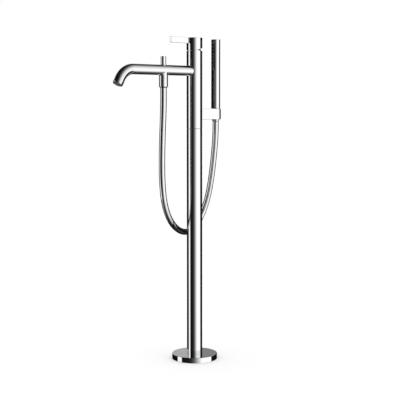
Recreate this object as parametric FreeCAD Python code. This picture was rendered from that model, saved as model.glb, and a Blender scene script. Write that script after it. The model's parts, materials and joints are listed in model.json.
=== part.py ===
"""Floor standing bath filler: a slim chrome column with a spout, a side lever and a hand shower.

Millimetres. The origin is the centre of the rosette's underside on the floor, +Z is up,
the spout points to -Y and the hand shower hangs on the +Y side.
"""
import FreeCAD, Part
import math
import os

Vec = FreeCAD.Vector

# Ways and small sizes that many pieces share
UP = Vec(0, 0, 1)
FORWARD = Vec(0, -1, 0)     # the way the spout points
BACK = Vec(0, 1, 0)
SIDE = Vec(1, 0, 0)
SIDES = (-1, 1)             # hot on -X, cold on +X
BEYOND = 1.0                # how far a cutter runs past the surface
FIT = 0.06                  # running fit between moving metal parts
CLEAR = 0.3                 # free gap between parts

# Floor end
ROSETTE_R = 60.0            # round cover plate on the floor
ROSETTE_H = 14.0
ROSETTE_WALL = 2.0
ROSETTE_BEVEL = 0.5
FLANGE_R = 50.0             # hidden plate that is bolted down
FLANGE_H = 8.0
ANCHORS = 4                 # M8
ANCHOR_CIRCLE_R = 40.0
ANCHOR_HOLE_R = 4.5
COLLAR_R = 27.0             # ring that the column stands in
COLLAR_TOP_Z = 11.5
COLLAR_SCREWS = 3
COLLAR_SCREW_R = 1.2
COLLAR_SCREW_L = 5.5
SEAL_W = 2.0                # rubber ring inside the rosette
PIPE_X = 9.0                # the hot and the cold line stand side by side
UNION_R = 8.6
UNION_THREAD_R = 7.45       # G3/8 female, minor radius
UNION_THREAD_L = 14.0
UNION_MOUTH_Z = 1.0
UNION_TOP_Z = 27.0
PIPE_R = 5.0
PIPE_BORE_R = 4.0
PIPE_FOOT_Z = 18.0          # shoulder in the union
PIPE_IN_VALVE = 8.0         # how deep a pipe sits in the mixer body

# Column
COLUMN_R = 20.5
COLUMN_BORE_R = 18.5
SEAM_Z = 612.9              # fine joint between the stand pipe and the mixer tube
SEAM_GAP = 0.8
SEAM_DEPTH = 0.4
COLUMN_TOP_Z = 814.4
SLEEVE_BORE_R = 16.0        # inner sleeve that joins the two tubes
SLEEVE_HALF_L = 23.0
SPACER_Z = 300.0
SPACER_H = 8.0

# Mixer
VALVE_R = 18.4
VALVE_Z = 697.5
VALVE_TOP_Z = 801.5
CHAMBER_R = 15.0
CHAMBER_Z = 775.5
WATERWAY_R = 3.5
CARTRIDGE_R = 14.9
CARTRIDGE_FLOOR = 2.0
CARTRIDGE_ROOF = 3.0
CARTRIDGE_NECK_R = 9.2
CAVITY_R = 12.5             # room for the discs inside the cartridge
PORT_SEAL_H = 1.0
PORT_SEAL_R = 4.6
PORT_SEAL_BORE_R = 3.6
PORT_R = 2.6
DISC_PORT_R = 2.2
FIXED_DISC_Z = CHAMBER_Z + PORT_SEAL_H + CARTRIDGE_FLOOR
FIXED_DISC_H = 3.5
DISC_R = 6.8
MOVING_DISC_Z = FIXED_DISC_Z + FIXED_DISC_H + CLEAR
MOVING_DISC_H = 3.4
DISC_RECESS_R = 3.4
DISC_RECESS_H = 1.6
DRIVER_Z = MOVING_DISC_Z + MOVING_DISC_H
DRIVER_H = 5.6
DRIVER_FLOOR = 0.6
DRIVER_POCKET = 3.6
FORK_Z = 792.1
FORK_FLANGE_TOP_Z = VALVE_TOP_Z - CARTRIDGE_ROOF - CLEAR
FORK_TOP_Z = 808.5
FORK_NECK_R = 8.8
FORK_SLOT_HALF = 3.8
FORK_SLOT_FRONT = 8.7       # the stem swings this way
FORK_SLOT_BACK = 6.3
TILT_Z = 804.5              # height of the lever's pivot
PIVOT_R = 1.5
PIVOT_L = 16.8
BALL_R = 3.0
BALL_Z = 789.9
SHANK_X = 3.5
SHANK_Y = 3.0
SHANK_Z = 792.0
SQUARE_Z = 811.5            # the stem's square end starts here
SQUARE_HALF = 4.0
SQUARE_TOP_Z = 829.5
NUT_BORE_R = 10.5
NUT_H = 6.0
DOME_R = 21.2               # ball-shaped cover under the cap, round the pivot
DOME_WALL = 1.6
DOME_RING_R = 17.3
DOME_HOLE_R = 13.0
DOME_BASE_BORE_R = 15.0
DOME_STEP = 0.5             # its base ends this far below the column's top

# Cap and lever
CAP_R = 20.7
CAP_FRONT_Z = 815.0
CAP_SLOPE = 0.2             # the underside rises to the back, so that the cap can tip
TOP_Z = 848.5
CAP_BORE_R = 18.9
CAP_CEILING_Z = 834.5
BOSS_R = 6.0
BOSS_Z = 813.5
FINE_BEVEL = 0.4
LEVER_TIP_Y = -85.5
LEVER_H = 15.0
LEVER_T = 6.5
LEVER_CORNER_R = 2.0
LEVER_MID_Z = TOP_Z - LEVER_H / 2
TENON_R = 3.0
TENON_END_Y = -12.0
LEVER_SCREW_R = 2.0
LEVER_SCREW_HEAD_R = 3.2
LEVER_SCREW_HEAD_H = 3.5
LEVER_SCREW_Y = -15.2
PLUG_Z = 827.5              # access hole at the back of the cap
PLUG_R = 2.2
PLUG_L = 2.0
GRUB_R = 2.0
GRUB_L = 6.0
HEX_R = 0.9

# Spout
SPOUT_Z = 762.8
SPOUT_R = 13.0
SPOUT_BORE_R = 10.5
BEND_Y = -212.0
BEND_R = 50.0
BEND_DEG = 61.0
MOUTH_L = 12.0              # straight end after the bend
NIPPLE_R = 10.4             # the spout slides over it
NIPPLE_BORE_R = 7.0
NIPPLE_ROOT_Y = -10.0
NIPPLE_L = 26.0
O_RING_Y = -28.0
O_RING_W = 2.4
O_RING_BORE_R = 8.6
AERATOR_R = 12.2
AERATOR_LIP = 2.0
AERATOR_BORE_R = 8.9
AERATOR_DEPTH = 9.0
JET_PLATE_IN = 1.5          # the jet plate lies this far inside the mouth
JET_RIM_OUT = 1.0
JET_RIM_BORE_R = 7.4
JET_DEPTH = 8.0
JETS = 6
JET_R = 1.1
JET_CIRCLE_R = 4.6
WASHER_H = 2.0
WASHER_BORE_R = 7.6

# Diverter and hose outlet, on one upright axis through the spout
DIVERTER_Y = -110.3
KNOB_R = 7.0
KNOB_Z = 776.1
KNOB_TOP_Z = 797.2
KNOB_BEVEL = 0.5
KNOB_SOCKET = 12.0
STEM_R = 2.5
BONNET_R = 7.3
BONNET_GAP = 0.4
CAGE_R = 7.4
CAGE_BORE_R = 6.2
CAGE_Z = 755.6
CAGE_TOP_Z = 770.0
CAGE_WINDOW_R = 4.6
CAGE_WINDOW_Z = 763.2
PLUNGER_R = 5.9
PLUNGER_Z = CAGE_Z + 1.2
PLUNGER_TOP_Z = CAGE_Z + 3.8
PLUNGER_SEAL_R = 5.6
PLUNGER_SEAL_Z = CAGE_Z + 0.3
SPRING_R = 5.4
SPRING_BORE_R = 4.2
OUTLET_R = 11.5
OUTLET_SEAM_Z = 742.1
OUTLET_THREAD_R = 10.2
OUTLET_THREAD_Z = 730.5
OUTLET_WAY_R = 4.8
VALVE_POCKET_R = 7.2
VALVE_POCKET_TOP = 2.0
CHECK_VALVE_Z = 732.0
CHECK_VALVE_TOP = 1.5
CHECK_WALL_R = 5.6
CHECK_PIN_R = 2.2
FACE_WASHER_R = 10.0
FACE_WASHER_BORE_R = 6.0
FACE_WASHER_Z = 728.7
HOSE_FLANGE_Z = 727.5
HOSE_TOP_Z = 724.5
HOSE_WAY_R = 4.5
NUT_Z = 718.0
NUT_CLEAR = 0.15
NUT_THREAD_R = 10.3

# Holder and hand shower
HOLDER_Y = 79.7
HOLDER_R = 13.85
HOLDER_Z = 636.5
HOLDER_TOP_Z = 664.6
HOLDER_MID_Z = (HOLDER_Z + HOLDER_TOP_Z) / 2
HOLDER_ROOT_Y = 10.0
HOLDER_LOW_BEVEL = 1.2
HOLDER_TOP_BEVEL = 0.5
HOLDER_SCREW_R = 3.0
HOLDER_SCREW_HEAD_R = 5.0
HOLDER_SCREW_HEAD_Y = 13.5
HOLDER_SCREW_HEAD_H = 4.0
HOLDER_SCREW_TIP_Y = 34.5
HOLDER_HOLE_END_Y = 35.5
LINER_R = 12.3
CONE_TOP_R = 11.0           # cone of the hose nut and its seat
CONE_BELLY_R = 10.3
CONE_END_R = 9.4
CONE_Z = 632.5
CONE_BELLY_Z = CONE_Z + 4.0
THREAD_R = 9.3              # male thread of the hand shower
FERRULE_TOP_Z = 643.5
FERRULE_FLANGE_H = 2.0
HOSE_WASHER_H = 2.0
HOSE_WASHER_BORE_R = 5.5
STICK_R = 12.0
STICK_BORE_R = 10.6
STICK_Z = 665.1
STICK_TOP_Z = 847.4
STICK_BEVEL = 0.5
STRIP_Z = 767.8             # spray strip, towards the spout
STRIP_TOP_Z = 840.7
STRIP_HALF = 5.0
STRIP_SUNK = 0.25
SLOT_IN = 9.0               # the slot's cutter ends this far from the stick's axis
CHAMBER_END = 8.0           # the spray chamber runs this far past the strip
CHAMBER_FLOOR = 4.0
CHAMBER_BORE_R = 8.4
CHAMBER_INLET_R = 4.0
TOP_CAP_H = 3.0
TOP_CAP_GAP = 2.0
INNER_TUBE_R = 5.0
INNER_TUBE_BORE_R = 4.0
INSERT_L = 16.0
THREAD_GAP = 2.4

# Shower hose
HOSE_R = 8.25
HOSE_ROUTE = [
    (0, -110.3, 724.5), (0, -110.3, 672.5), (-1.5, -112.6, 609.7), (-4, -113, 542.5), (-8, -109, 474.9),
    (-14, -95, 413.5), (-26, -60.5, 365.5), (-45.5, -9, 337.2), (-61, 41.5, 330), (-62, 84, 361.6),
    (-45, 95.5, 419.6), (-25, 90.5, 483.3), (-9.5, 84, 546.8), (0, 79.7, 596.2), (0, 79.7, 629.5),
]
ARC_SHARE = 0.45            # part of each run that its corner's arc takes


def save(name, shape):
    """Writes one piece to its own file."""
    shape.exportStep("parts/" + name + ".step")


def rod(radius, z0, z1, x=0.0, y=0.0):
    """Upright cylinder between two heights."""
    return Part.makeCylinder(radius, z1 - z0, Vec(x, y, z0), UP)


def ring(outer, inner, z0, z1, x=0.0, y=0.0):
    """Upright tube between two heights."""
    return rod(outer, z0, z1, x, y).cut(rod(inner, z0 - BEYOND, z1 + BEYOND, x, y))


def cone(r0, r1, z0, z1, x=0.0, y=0.0):
    """Upright cone, radius r0 at z0 and r1 at z1."""
    return Part.makeCone(r0, r1, z1 - z0, Vec(x, y, z0), UP)


def lying(radius, start, length, direction):
    """Cylinder from a point along a direction."""
    return Part.makeCylinder(radius, length, start, direction)


def block(x0, x1, y0, y1, z0, z1):
    """Box between two corners."""
    return Part.makeBox(x1 - x0, y1 - y0, z1 - z0, Vec(x0, y0, z0))


def soften(shape, size, keep):
    """Chamfers the edges that keep() picks."""
    edges = [e for e in shape.Edges if keep(e)]
    return shape.makeChamfer(size, edges)


def at_height(z):
    """Picks the round edges that lie at one height."""
    return lambda e: abs(e.BoundBox.ZMin - z) < 0.01 and abs(e.BoundBox.ZMax - z) < 0.01


# ---------------------------------------------------------------- floor end

def floor_flange():
    """Plate with four anchor holes and two holes for the supply unions."""
    plate = rod(FLANGE_R, 0, FLANGE_H)
    for side in SIDES:
        plate = plate.cut(rod(UNION_R, -BEYOND, FLANGE_H + BEYOND, side * PIPE_X))
    for k in range(ANCHORS):
        turn = 2 * math.pi * (k + 0.5) / ANCHORS
        x = ANCHOR_CIRCLE_R * math.cos(turn)
        y = ANCHOR_CIRCLE_R * math.sin(turn)
        plate = plate.cut(rod(ANCHOR_HOLE_R, -BEYOND, FLANGE_H + BEYOND, x, y))
    return plate


def collar_screws():
    """Three grub screws that lock the column in the collar, the first at the back."""
    screws = []
    for k in range(COLLAR_SCREWS):
        turn = math.pi / 2 + 2 * math.pi * k / COLLAR_SCREWS
        way = Vec(math.cos(turn), math.sin(turn), 0)
        start = way * COLUMN_R + UP * ((FLANGE_H + COLLAR_TOP_Z) / 2)
        screws.append(lying(COLLAR_SCREW_R, start, COLLAR_SCREW_L, way))
    return Part.makeCompound(screws)


def column_collar():
    """Ring on the flange round the foot of the column, with its three screw holes."""
    collar = ring(COLLAR_R, COLUMN_R, FLANGE_H, COLLAR_TOP_Z)
    return collar.cut(collar_screws())


def floor_rosette():
    """Round cover, open underneath, with a fine bevel on its top edge."""
    cover = rod(ROSETTE_R, 0, ROSETTE_H)
    cover = soften(cover, ROSETTE_BEVEL, at_height(ROSETTE_H))
    cover = cover.cut(rod(ROSETTE_R - ROSETTE_WALL, -BEYOND, ROSETTE_H - ROSETTE_WALL))
    return cover.cut(rod(COLUMN_R + CLEAR, -BEYOND, ROSETTE_H + BEYOND))


def rosette_seal():
    """Thin rubber ring round the column, between the collar and the rosette."""
    return ring(COLUMN_R + SEAL_W, COLUMN_R, COLLAR_TOP_Z, ROSETTE_H - ROSETTE_WALL)


def inlet_union(side):
    """Female G3/8 union for one supply hose, with the socket for its pipe."""
    x = side * PIPE_X
    body = rod(UNION_R, UNION_MOUTH_Z, UNION_TOP_Z, x)
    body = body.cut(rod(UNION_THREAD_R, UNION_MOUTH_Z - BEYOND, UNION_MOUTH_Z + UNION_THREAD_L, x))
    body = body.cut(rod(PIPE_BORE_R, UNION_MOUTH_Z - BEYOND, UNION_TOP_Z, x))
    return body.cut(rod(PIPE_R, PIPE_FOOT_Z, UNION_TOP_Z + BEYOND, x))


def supply_pipes():
    """Hot and cold copper pipes from the unions up to the mixer."""
    top = VALVE_Z + PIPE_IN_VALVE
    pipes = [ring(PIPE_R, PIPE_BORE_R, PIPE_FOOT_Z, top, side * PIPE_X) for side in SIDES]
    return Part.makeCompound(pipes)


# ---------------------------------------------------------------- column

def stand_pipe():
    """Lower tube, from the flange to the seam."""
    return ring(COLUMN_R, COLUMN_BORE_R, FLANGE_H, SEAM_Z - SEAM_GAP / 2)


def seam_ring():
    """Thin ring, a hair smaller than the column, that makes the shadow line."""
    return ring(COLUMN_R - SEAM_DEPTH, COLUMN_BORE_R, SEAM_Z - SEAM_GAP / 2, SEAM_Z + SEAM_GAP / 2)


def joint_sleeve():
    """Inner sleeve that lines up the two tubes."""
    return ring(COLUMN_BORE_R, SLEEVE_BORE_R, SEAM_Z - SLEEVE_HALF_L, SEAM_Z + SLEEVE_HALF_L)


def pipe_spacer():
    """Plastic disc that keeps the two pipes apart and quiet."""
    disc = rod(VALVE_R, SPACER_Z, SPACER_Z + SPACER_H)
    for side in SIDES:
        disc = disc.cut(rod(PIPE_R, SPACER_Z - BEYOND, SPACER_Z + SPACER_H + BEYOND, side * PIPE_X))
    return disc


def mixer_tube():
    """Upper tube round the mixer, with openings for the spout and the holder screw."""
    tube = ring(COLUMN_R, COLUMN_BORE_R, SEAM_Z + SEAM_GAP / 2, COLUMN_TOP_Z)
    tube = tube.cut(lying(SPOUT_R, Vec(0, 0, SPOUT_Z), COLUMN_R + BEYOND, FORWARD))
    return tube.cut(lying(HOLDER_SCREW_R, Vec(0, 0, HOLDER_MID_Z), COLUMN_R + BEYOND, BACK))


# ---------------------------------------------------------------- mixer

def valve_body():
    """Brass body with the pipe sockets, the waterways, the spout port and the cartridge seat."""
    body = rod(VALVE_R, VALVE_Z, VALVE_TOP_Z)
    body = body.cut(rod(CHAMBER_R, CHAMBER_Z, VALVE_TOP_Z + BEYOND))
    for side in SIDES:
        body = body.cut(rod(PIPE_R, VALVE_Z - BEYOND, VALVE_Z + PIPE_IN_VALVE, side * PIPE_X))
        body = body.cut(rod(WATERWAY_R, VALVE_Z, CHAMBER_Z + BEYOND, side * PIPE_X))
    body = body.cut(rod(WATERWAY_R, SPOUT_Z, CHAMBER_Z + BEYOND))
    body = body.cut(lying(WATERWAY_R, Vec(0, 0, SPOUT_Z), VALVE_R, FORWARD))
    return body.cut(lying(NIPPLE_R, Vec(0, NIPPLE_ROOT_Y, SPOUT_Z), VALVE_R, FORWARD))


def port_places():
    """Hot, mixed and cold port, side by side."""
    return (-PIPE_X, 0.0, PIPE_X)


def cartridge_seals():
    """Three O-rings under the cartridge, one for each waterway."""
    top = CHAMBER_Z + PORT_SEAL_H
    rings = [ring(PORT_SEAL_R, PORT_SEAL_BORE_R, CHAMBER_Z, top, x) for x in port_places()]
    return Part.makeCompound(rings)


def cartridge_housing():
    """Plastic cartridge shell with three ports below and an open neck above."""
    roof = VALVE_TOP_Z - CARTRIDGE_ROOF
    shell = rod(CARTRIDGE_R, CHAMBER_Z + PORT_SEAL_H, VALVE_TOP_Z)
    shell = shell.cut(rod(CAVITY_R, FIXED_DISC_Z, roof))
    shell = shell.cut(rod(CARTRIDGE_NECK_R, roof - BEYOND, VALVE_TOP_Z + BEYOND))
    for x in port_places():
        shell = shell.cut(rod(PORT_R, CHAMBER_Z, FIXED_DISC_Z + BEYOND, x))
    return shell


def fixed_disc():
    """Lower ceramic disc, with the hot, cold and mixed ports."""
    top = FIXED_DISC_Z + FIXED_DISC_H
    disc = rod(CAVITY_R - FIT, FIXED_DISC_Z, top)
    for x in port_places():
        disc = disc.cut(rod(DISC_PORT_R, FIXED_DISC_Z - BEYOND, top + BEYOND, x))
    return disc


def moving_disc():
    """Upper ceramic disc that slides and turns over the ports."""
    disc = rod(DISC_R, MOVING_DISC_Z, MOVING_DISC_Z + MOVING_DISC_H)
    return disc.cut(rod(DISC_RECESS_R, MOVING_DISC_Z - BEYOND, MOVING_DISC_Z + DISC_RECESS_H))


def disc_driver():
    """Plastic pocket on the moving disc that the stem's ball pushes."""
    half = DRIVER_POCKET
    top = DRIVER_Z + DRIVER_H
    driver = rod(DISC_R, DRIVER_Z, top)
    return driver.cut(block(-half, half, -half, half, DRIVER_Z + DRIVER_FLOOR, top + BEYOND))


def turn_carrier():
    """Fork that turns in the cartridge and holds the lever's pivot pin."""
    fork = rod(CAVITY_R - CLEAR, FORK_Z, FORK_FLANGE_TOP_Z)
    fork = fork.fuse(rod(FORK_NECK_R, FORK_Z, FORK_TOP_Z))
    slot = block(-FORK_SLOT_HALF, FORK_SLOT_HALF, -FORK_SLOT_FRONT, FORK_SLOT_BACK,
                 FORK_Z - BEYOND, FORK_TOP_Z + BEYOND)
    return fork.cut(slot).cut(lying(PIVOT_R, Vec(-CAVITY_R, 0, TILT_Z), 2 * CAVITY_R, SIDE))


def pivot_pin():
    """Steel pin across the fork."""
    return lying(PIVOT_R, Vec(-PIVOT_L / 2, 0, TILT_Z), PIVOT_L, SIDE)


def cartridge_stem():
    """Lever stem: a ball below the pivot, a square above it that carries the cap."""
    half = SQUARE_HALF
    stem = block(-SHANK_X, SHANK_X, -SHANK_Y, SHANK_Y, SHANK_Z, SQUARE_Z + BEYOND)
    stem = stem.fuse(Part.makeSphere(BALL_R, Vec(0, 0, BALL_Z)))
    stem = stem.fuse(block(-half, half, -half, half, SQUARE_Z, SQUARE_TOP_Z))
    return stem.cut(lying(PIVOT_R + FIT, Vec(-PIVOT_L / 2, 0, TILT_Z), PIVOT_L, SIDE))


def cartridge_nut():
    """Brass ring nut that clamps the cartridge."""
    return ring(COLUMN_BORE_R - FIT, NUT_BORE_R, VALVE_TOP_Z, VALVE_TOP_Z + NUT_H)


def dome_ring():
    """Ball-shaped trim ring that closes the gap under the cap."""
    step_z = COLUMN_TOP_Z - DOME_STEP
    cut_z = step_z - DOME_WALL
    pivot = Vec(0, 0, TILT_Z)
    base = ring(COLUMN_BORE_R - 2 * FIT, DOME_BASE_BORE_R, VALVE_TOP_Z + NUT_H, step_z)
    lip = rod(DOME_RING_R, step_z, TILT_Z + DOME_R).common(Part.makeSphere(DOME_R, pivot))
    hollow = Part.makeSphere(DOME_R - DOME_WALL, pivot).common(rod(DOME_BASE_BORE_R, cut_z, TOP_Z))
    lip = lip.cut(hollow).cut(rod(DOME_HOLE_R, cut_z, TOP_Z))
    return base.fuse(lip).removeSplitter()


# ---------------------------------------------------------------- cap and lever

def handle_cap():
    """Turned cap, cut obliquely underneath, with the stem socket inside."""
    half = SQUARE_HALF
    cap = soften(rod(CAP_R, CAP_FRONT_Z, TOP_Z), FINE_BEVEL, at_height(TOP_Z))
    cap = cap.cut(rod(CAP_BORE_R, CAP_FRONT_Z - BEYOND, CAP_CEILING_Z))
    cap = cap.cut(under_cap_wedge()).fuse(rod(BOSS_R, BOSS_Z, CAP_CEILING_Z + BEYOND))
    cap = cap.cut(block(-half, half, -half, half, BOSS_Z - BEYOND, SQUARE_TOP_Z + CLEAR))
    cap = cap.cut(lying(GRUB_R, Vec(0, 0, PLUG_Z), BOSS_R + BEYOND, BACK))
    cap = cap.cut(lying(PLUG_R, Vec(0, 2 * BOSS_R, PLUG_Z), 2 * BOSS_R, BACK))
    tenon_hole = lying(TENON_R, Vec(0, TENON_END_Y, LEVER_MID_Z), 2 * BOSS_R, FORWARD)
    return cap.cut(tenon_hole).cut(lever_screw_shank())


def under_cap_wedge():
    """Everything below the cap's oblique underside."""
    reach = CAP_R + BEYOND
    low = CAP_FRONT_Z - BEYOND
    points = [
        Vec(-reach, -CAP_R, low), Vec(-reach, -CAP_R, CAP_FRONT_Z),
        Vec(-reach, reach, CAP_FRONT_Z + CAP_SLOPE * (reach + CAP_R)), Vec(-reach, reach, low),
    ]
    face = Part.Face(Part.makePolygon(points + points[:1]))
    return face.extrude(SIDE * (2 * reach))


def lever_bar():
    """Flat bar, flush with the cap's top, with a round tenon that enters the cap."""
    bottom = TOP_Z - LEVER_H
    bar = block(-LEVER_T / 2, LEVER_T / 2, LEVER_TIP_Y, -CAP_R + BEYOND, bottom, TOP_Z)
    tip_edge = [e for e in bar.Edges if edge_is(e, LEVER_TIP_Y, bottom)]
    bar = bar.makeFillet(LEVER_CORNER_R, tip_edge)
    rims = [e for e in bar.Edges if e.BoundBox.YLength > LEVER_H]
    bar = bar.makeChamfer(FINE_BEVEL, rims)
    bar = bar.cut(rod(CAP_R, bottom - BEYOND, TOP_Z + BEYOND))
    tenon = lying(TENON_R, Vec(0, TENON_END_Y, LEVER_MID_Z), CAP_R + BEYOND + TENON_END_Y, FORWARD)
    return bar.fuse(tenon).cut(lever_screw_shank())


def edge_is(edge, y, z):
    """True for the straight edge across X at one Y and one height."""
    box = edge.BoundBox
    return abs(box.YMin - y) < 0.01 and abs(box.YMax - y) < 0.01 and abs(box.ZMax - z) < 0.01


def lever_screw_shank():
    """Upright shank from under the cap's ceiling to the middle of the tenon."""
    return rod(LEVER_SCREW_R, CAP_CEILING_Z - BEYOND, LEVER_MID_Z, 0, LEVER_SCREW_Y)


def lever_screw():
    """Screw from inside the cap up into the tenon."""
    head = rod(LEVER_SCREW_HEAD_R, CAP_CEILING_Z - LEVER_SCREW_HEAD_H, CAP_CEILING_Z, 0, LEVER_SCREW_Y)
    return lever_screw_shank().fuse(head)


def cap_grub_screw():
    """Grub screw that clamps the cap on the stem, driven from the back."""
    screw = lying(GRUB_R, Vec(0, SQUARE_HALF, PLUG_Z), GRUB_L, BACK)
    return screw.cut(lying(HEX_R, Vec(0, SQUARE_HALF + GRUB_L / 2, PLUG_Z), GRUB_L, BACK))


def access_plug():
    """Small cover in the hole at the back of the cap."""
    return lying(PLUG_R, Vec(0, CAP_BORE_R - FINE_BEVEL, PLUG_Z), PLUG_L, BACK)


# ---------------------------------------------------------------- spout

def bend_point(turned_deg, radius):
    """A point on the spout's bend, at one distance from the bend's centre."""
    turn = math.radians(turned_deg)
    y = BEND_Y - radius * math.sin(turn)
    return Vec(0, y, SPOUT_Z - BEND_R + radius * math.cos(turn))


def mouth_way():
    """Direction of the water at the spout's mouth."""
    turn = math.radians(BEND_DEG)
    return Vec(0, -math.cos(turn), -math.sin(turn))


def mouth_point(beyond=0.0):
    """Centre of the spout's mouth, or a point beyond it."""
    return bend_point(BEND_DEG, BEND_R) + mouth_way() * (MOUTH_L + beyond)


def at_mouth(radius, start, end):
    """Cylinder on the mouth's axis, between two distances beyond the mouth."""
    return lying(radius, mouth_point(start), end - start, mouth_way())


def spout_core(radius, extra=0.0):
    """Solid along the spout's line, from the column to the mouth."""
    straight = Part.LineSegment(Vec(0, 0, SPOUT_Z), Vec(0, BEND_Y, SPOUT_Z)).toShape()
    middle = bend_point(BEND_DEG / 2, BEND_R)
    arc = Part.Arc(bend_point(0, BEND_R), middle, bend_point(BEND_DEG, BEND_R))
    end = Part.LineSegment(bend_point(BEND_DEG, BEND_R), mouth_point(extra)).toShape()
    path = Part.Wire([straight, arc.toShape(), end])
    circle = Part.Wire(Part.makeCircle(radius, Vec(0, 0, SPOUT_Z), FORWARD))
    return path.makePipeShell([circle], True, False)


def spout_tube():
    """Chrome tube with its bore, the holes of the diverter and the seat in the column."""
    low, high = SPOUT_Z - 2 * SPOUT_R, SPOUT_Z + 2 * SPOUT_R
    tube = spout_core(SPOUT_R).cut(spout_core(SPOUT_BORE_R, BEYOND))
    tube = tube.cut(rod(VALVE_R + FIT, low, high))
    tube = tube.cut(rod(BONNET_R, SPOUT_Z, high, 0, DIVERTER_Y))
    return tube.cut(rod(CAGE_R, low, SPOUT_Z, 0, DIVERTER_Y))


def spout_nipple():
    """Brass nipple screwed into the mixer body; the spout slides over it."""
    start = Vec(0, NIPPLE_ROOT_Y, SPOUT_Z)
    nipple = lying(NIPPLE_R, start, NIPPLE_L, FORWARD).cut(lying(NIPPLE_BORE_R, start, NIPPLE_L, FORWARD))
    return nipple.cut(spout_o_ring())


def spout_o_ring():
    """Seal in the nipple's groove."""
    start = Vec(0, O_RING_Y, SPOUT_Z)
    return lying(SPOUT_BORE_R, start, O_RING_W, FORWARD).cut(lying(O_RING_BORE_R, start, O_RING_W, FORWARD))


def aerator_housing():
    """Ring screwed into the spout's mouth, with a lip that stands proud."""
    barrel = at_mouth(SPOUT_BORE_R, -AERATOR_DEPTH, 0)
    lip = at_mouth(AERATOR_R, 0, AERATOR_LIP)
    return barrel.fuse(lip).cut(at_mouth(AERATOR_BORE_R, -AERATOR_DEPTH - BEYOND, AERATOR_LIP + BEYOND))


def aerator_insert():
    """Plastic jet former: a plate with seven through holes inside its rim."""
    across = mouth_way().cross(SIDE)
    insert = at_mouth(AERATOR_BORE_R, -JET_DEPTH, JET_RIM_OUT)
    insert = insert.cut(at_mouth(JET_RIM_BORE_R, -JET_PLATE_IN, JET_RIM_OUT + BEYOND))
    places = [Vec(0, 0, 0)]
    for k in range(JETS):
        turn = 2 * math.pi * k / JETS
        places.append((SIDE * math.cos(turn) + across * math.sin(turn)) * JET_CIRCLE_R)
    for place in places:
        start = mouth_point(-JET_DEPTH - BEYOND) + place
        insert = insert.cut(lying(JET_R, start, JET_DEPTH + 2 * BEYOND, mouth_way()))
    return insert


def aerator_washer():
    """Rubber washer above the aerator."""
    low, high = -AERATOR_DEPTH - WASHER_H, -AERATOR_DEPTH
    return at_mouth(SPOUT_BORE_R, low, high).cut(at_mouth(WASHER_BORE_R, low - BEYOND, high + BEYOND))


# ---------------------------------------------------------------- diverter

def diverter_bonnet():
    """Plated brass bush in the top of the spout that guides the pull pin."""
    return ring(BONNET_R, STEM_R + FIT, CAGE_TOP_Z, KNOB_Z - BONNET_GAP, 0, DIVERTER_Y)


def diverter_cage():
    """Brass cage inside the spout with side windows for the water."""
    cage = ring(CAGE_R, CAGE_BORE_R, CAGE_Z, CAGE_TOP_Z, 0, DIVERTER_Y)
    start = Vec(0, DIVERTER_Y + CAGE_R + BEYOND, CAGE_WINDOW_Z)
    return cage.cut(lying(CAGE_WINDOW_R, start, 2 * (CAGE_R + BEYOND), FORWARD))


def diverter_knob():
    """Pull pin above the spout, with a fine bevel at its top."""
    knob = rod(KNOB_R, KNOB_Z, KNOB_TOP_Z, 0, DIVERTER_Y)
    knob = soften(knob, KNOB_BEVEL, at_height(KNOB_TOP_Z))
    return knob.cut(rod(STEM_R, KNOB_Z - BEYOND, KNOB_Z + KNOB_SOCKET, 0, DIVERTER_Y))


def diverter_stem():
    """Rod from the pull pin down to the plunger."""
    return rod(STEM_R, PLUNGER_TOP_Z, KNOB_Z + KNOB_SOCKET, 0, DIVERTER_Y)


def diverter_plunger():
    """Plunger that opens the hose way when it is pulled up."""
    return rod(PLUNGER_R, PLUNGER_Z, PLUNGER_TOP_Z, 0, DIVERTER_Y)


def plunger_seal():
    """Rubber face under the plunger."""
    return rod(PLUNGER_SEAL_R, PLUNGER_SEAL_Z, PLUNGER_Z, 0, DIVERTER_Y)


def diverter_spring():
    """Room of the coil spring between the plunger and the bonnet."""
    return ring(SPRING_R, SPRING_BORE_R, PLUNGER_TOP_Z, CAGE_TOP_Z, 0, DIVERTER_Y)


# ---------------------------------------------------------------- hose outlet

def hose_outlet():
    """Chrome stub under the spout, with the thread for the hose nut below it."""
    stub = rod(OUTLET_R, OUTLET_SEAM_Z, SPOUT_Z, 0, DIVERTER_Y).cut(spout_core(SPOUT_R))
    stub = keep_lowest(stub)
    stub = stub.fuse(rod(CAGE_R, OUTLET_SEAM_Z, CAGE_Z, 0, DIVERTER_Y))
    stub = stub.fuse(rod(OUTLET_THREAD_R, OUTLET_THREAD_Z, OUTLET_SEAM_Z, 0, DIVERTER_Y))
    stub = stub.cut(rod(OUTLET_WAY_R, OUTLET_SEAM_Z, SPOUT_Z, 0, DIVERTER_Y))
    return stub.cut(rod(VALVE_POCKET_R, NUT_Z, OUTLET_SEAM_Z + VALVE_POCKET_TOP, 0, DIVERTER_Y))


def keep_lowest(shape):
    """The lowest of the solids that a cut left."""
    return min(shape.Solids, key=lambda s: s.BoundBox.ZMin)


def check_valve():
    """Plastic non-return valve inside the outlet."""
    valve = rod(VALVE_POCKET_R, CHECK_VALVE_Z, OUTLET_SEAM_Z + CHECK_VALVE_TOP, 0, DIVERTER_Y)
    return valve.cut(ring(CHECK_WALL_R, CHECK_PIN_R, OUTLET_THREAD_Z, OUTLET_SEAM_Z, 0, DIVERTER_Y))


def outlet_washer():
    """Flat washer between the hose and the outlet."""
    return ring(FACE_WASHER_R, FACE_WASHER_BORE_R, FACE_WASHER_Z, OUTLET_THREAD_Z, 0, DIVERTER_Y)


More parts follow.
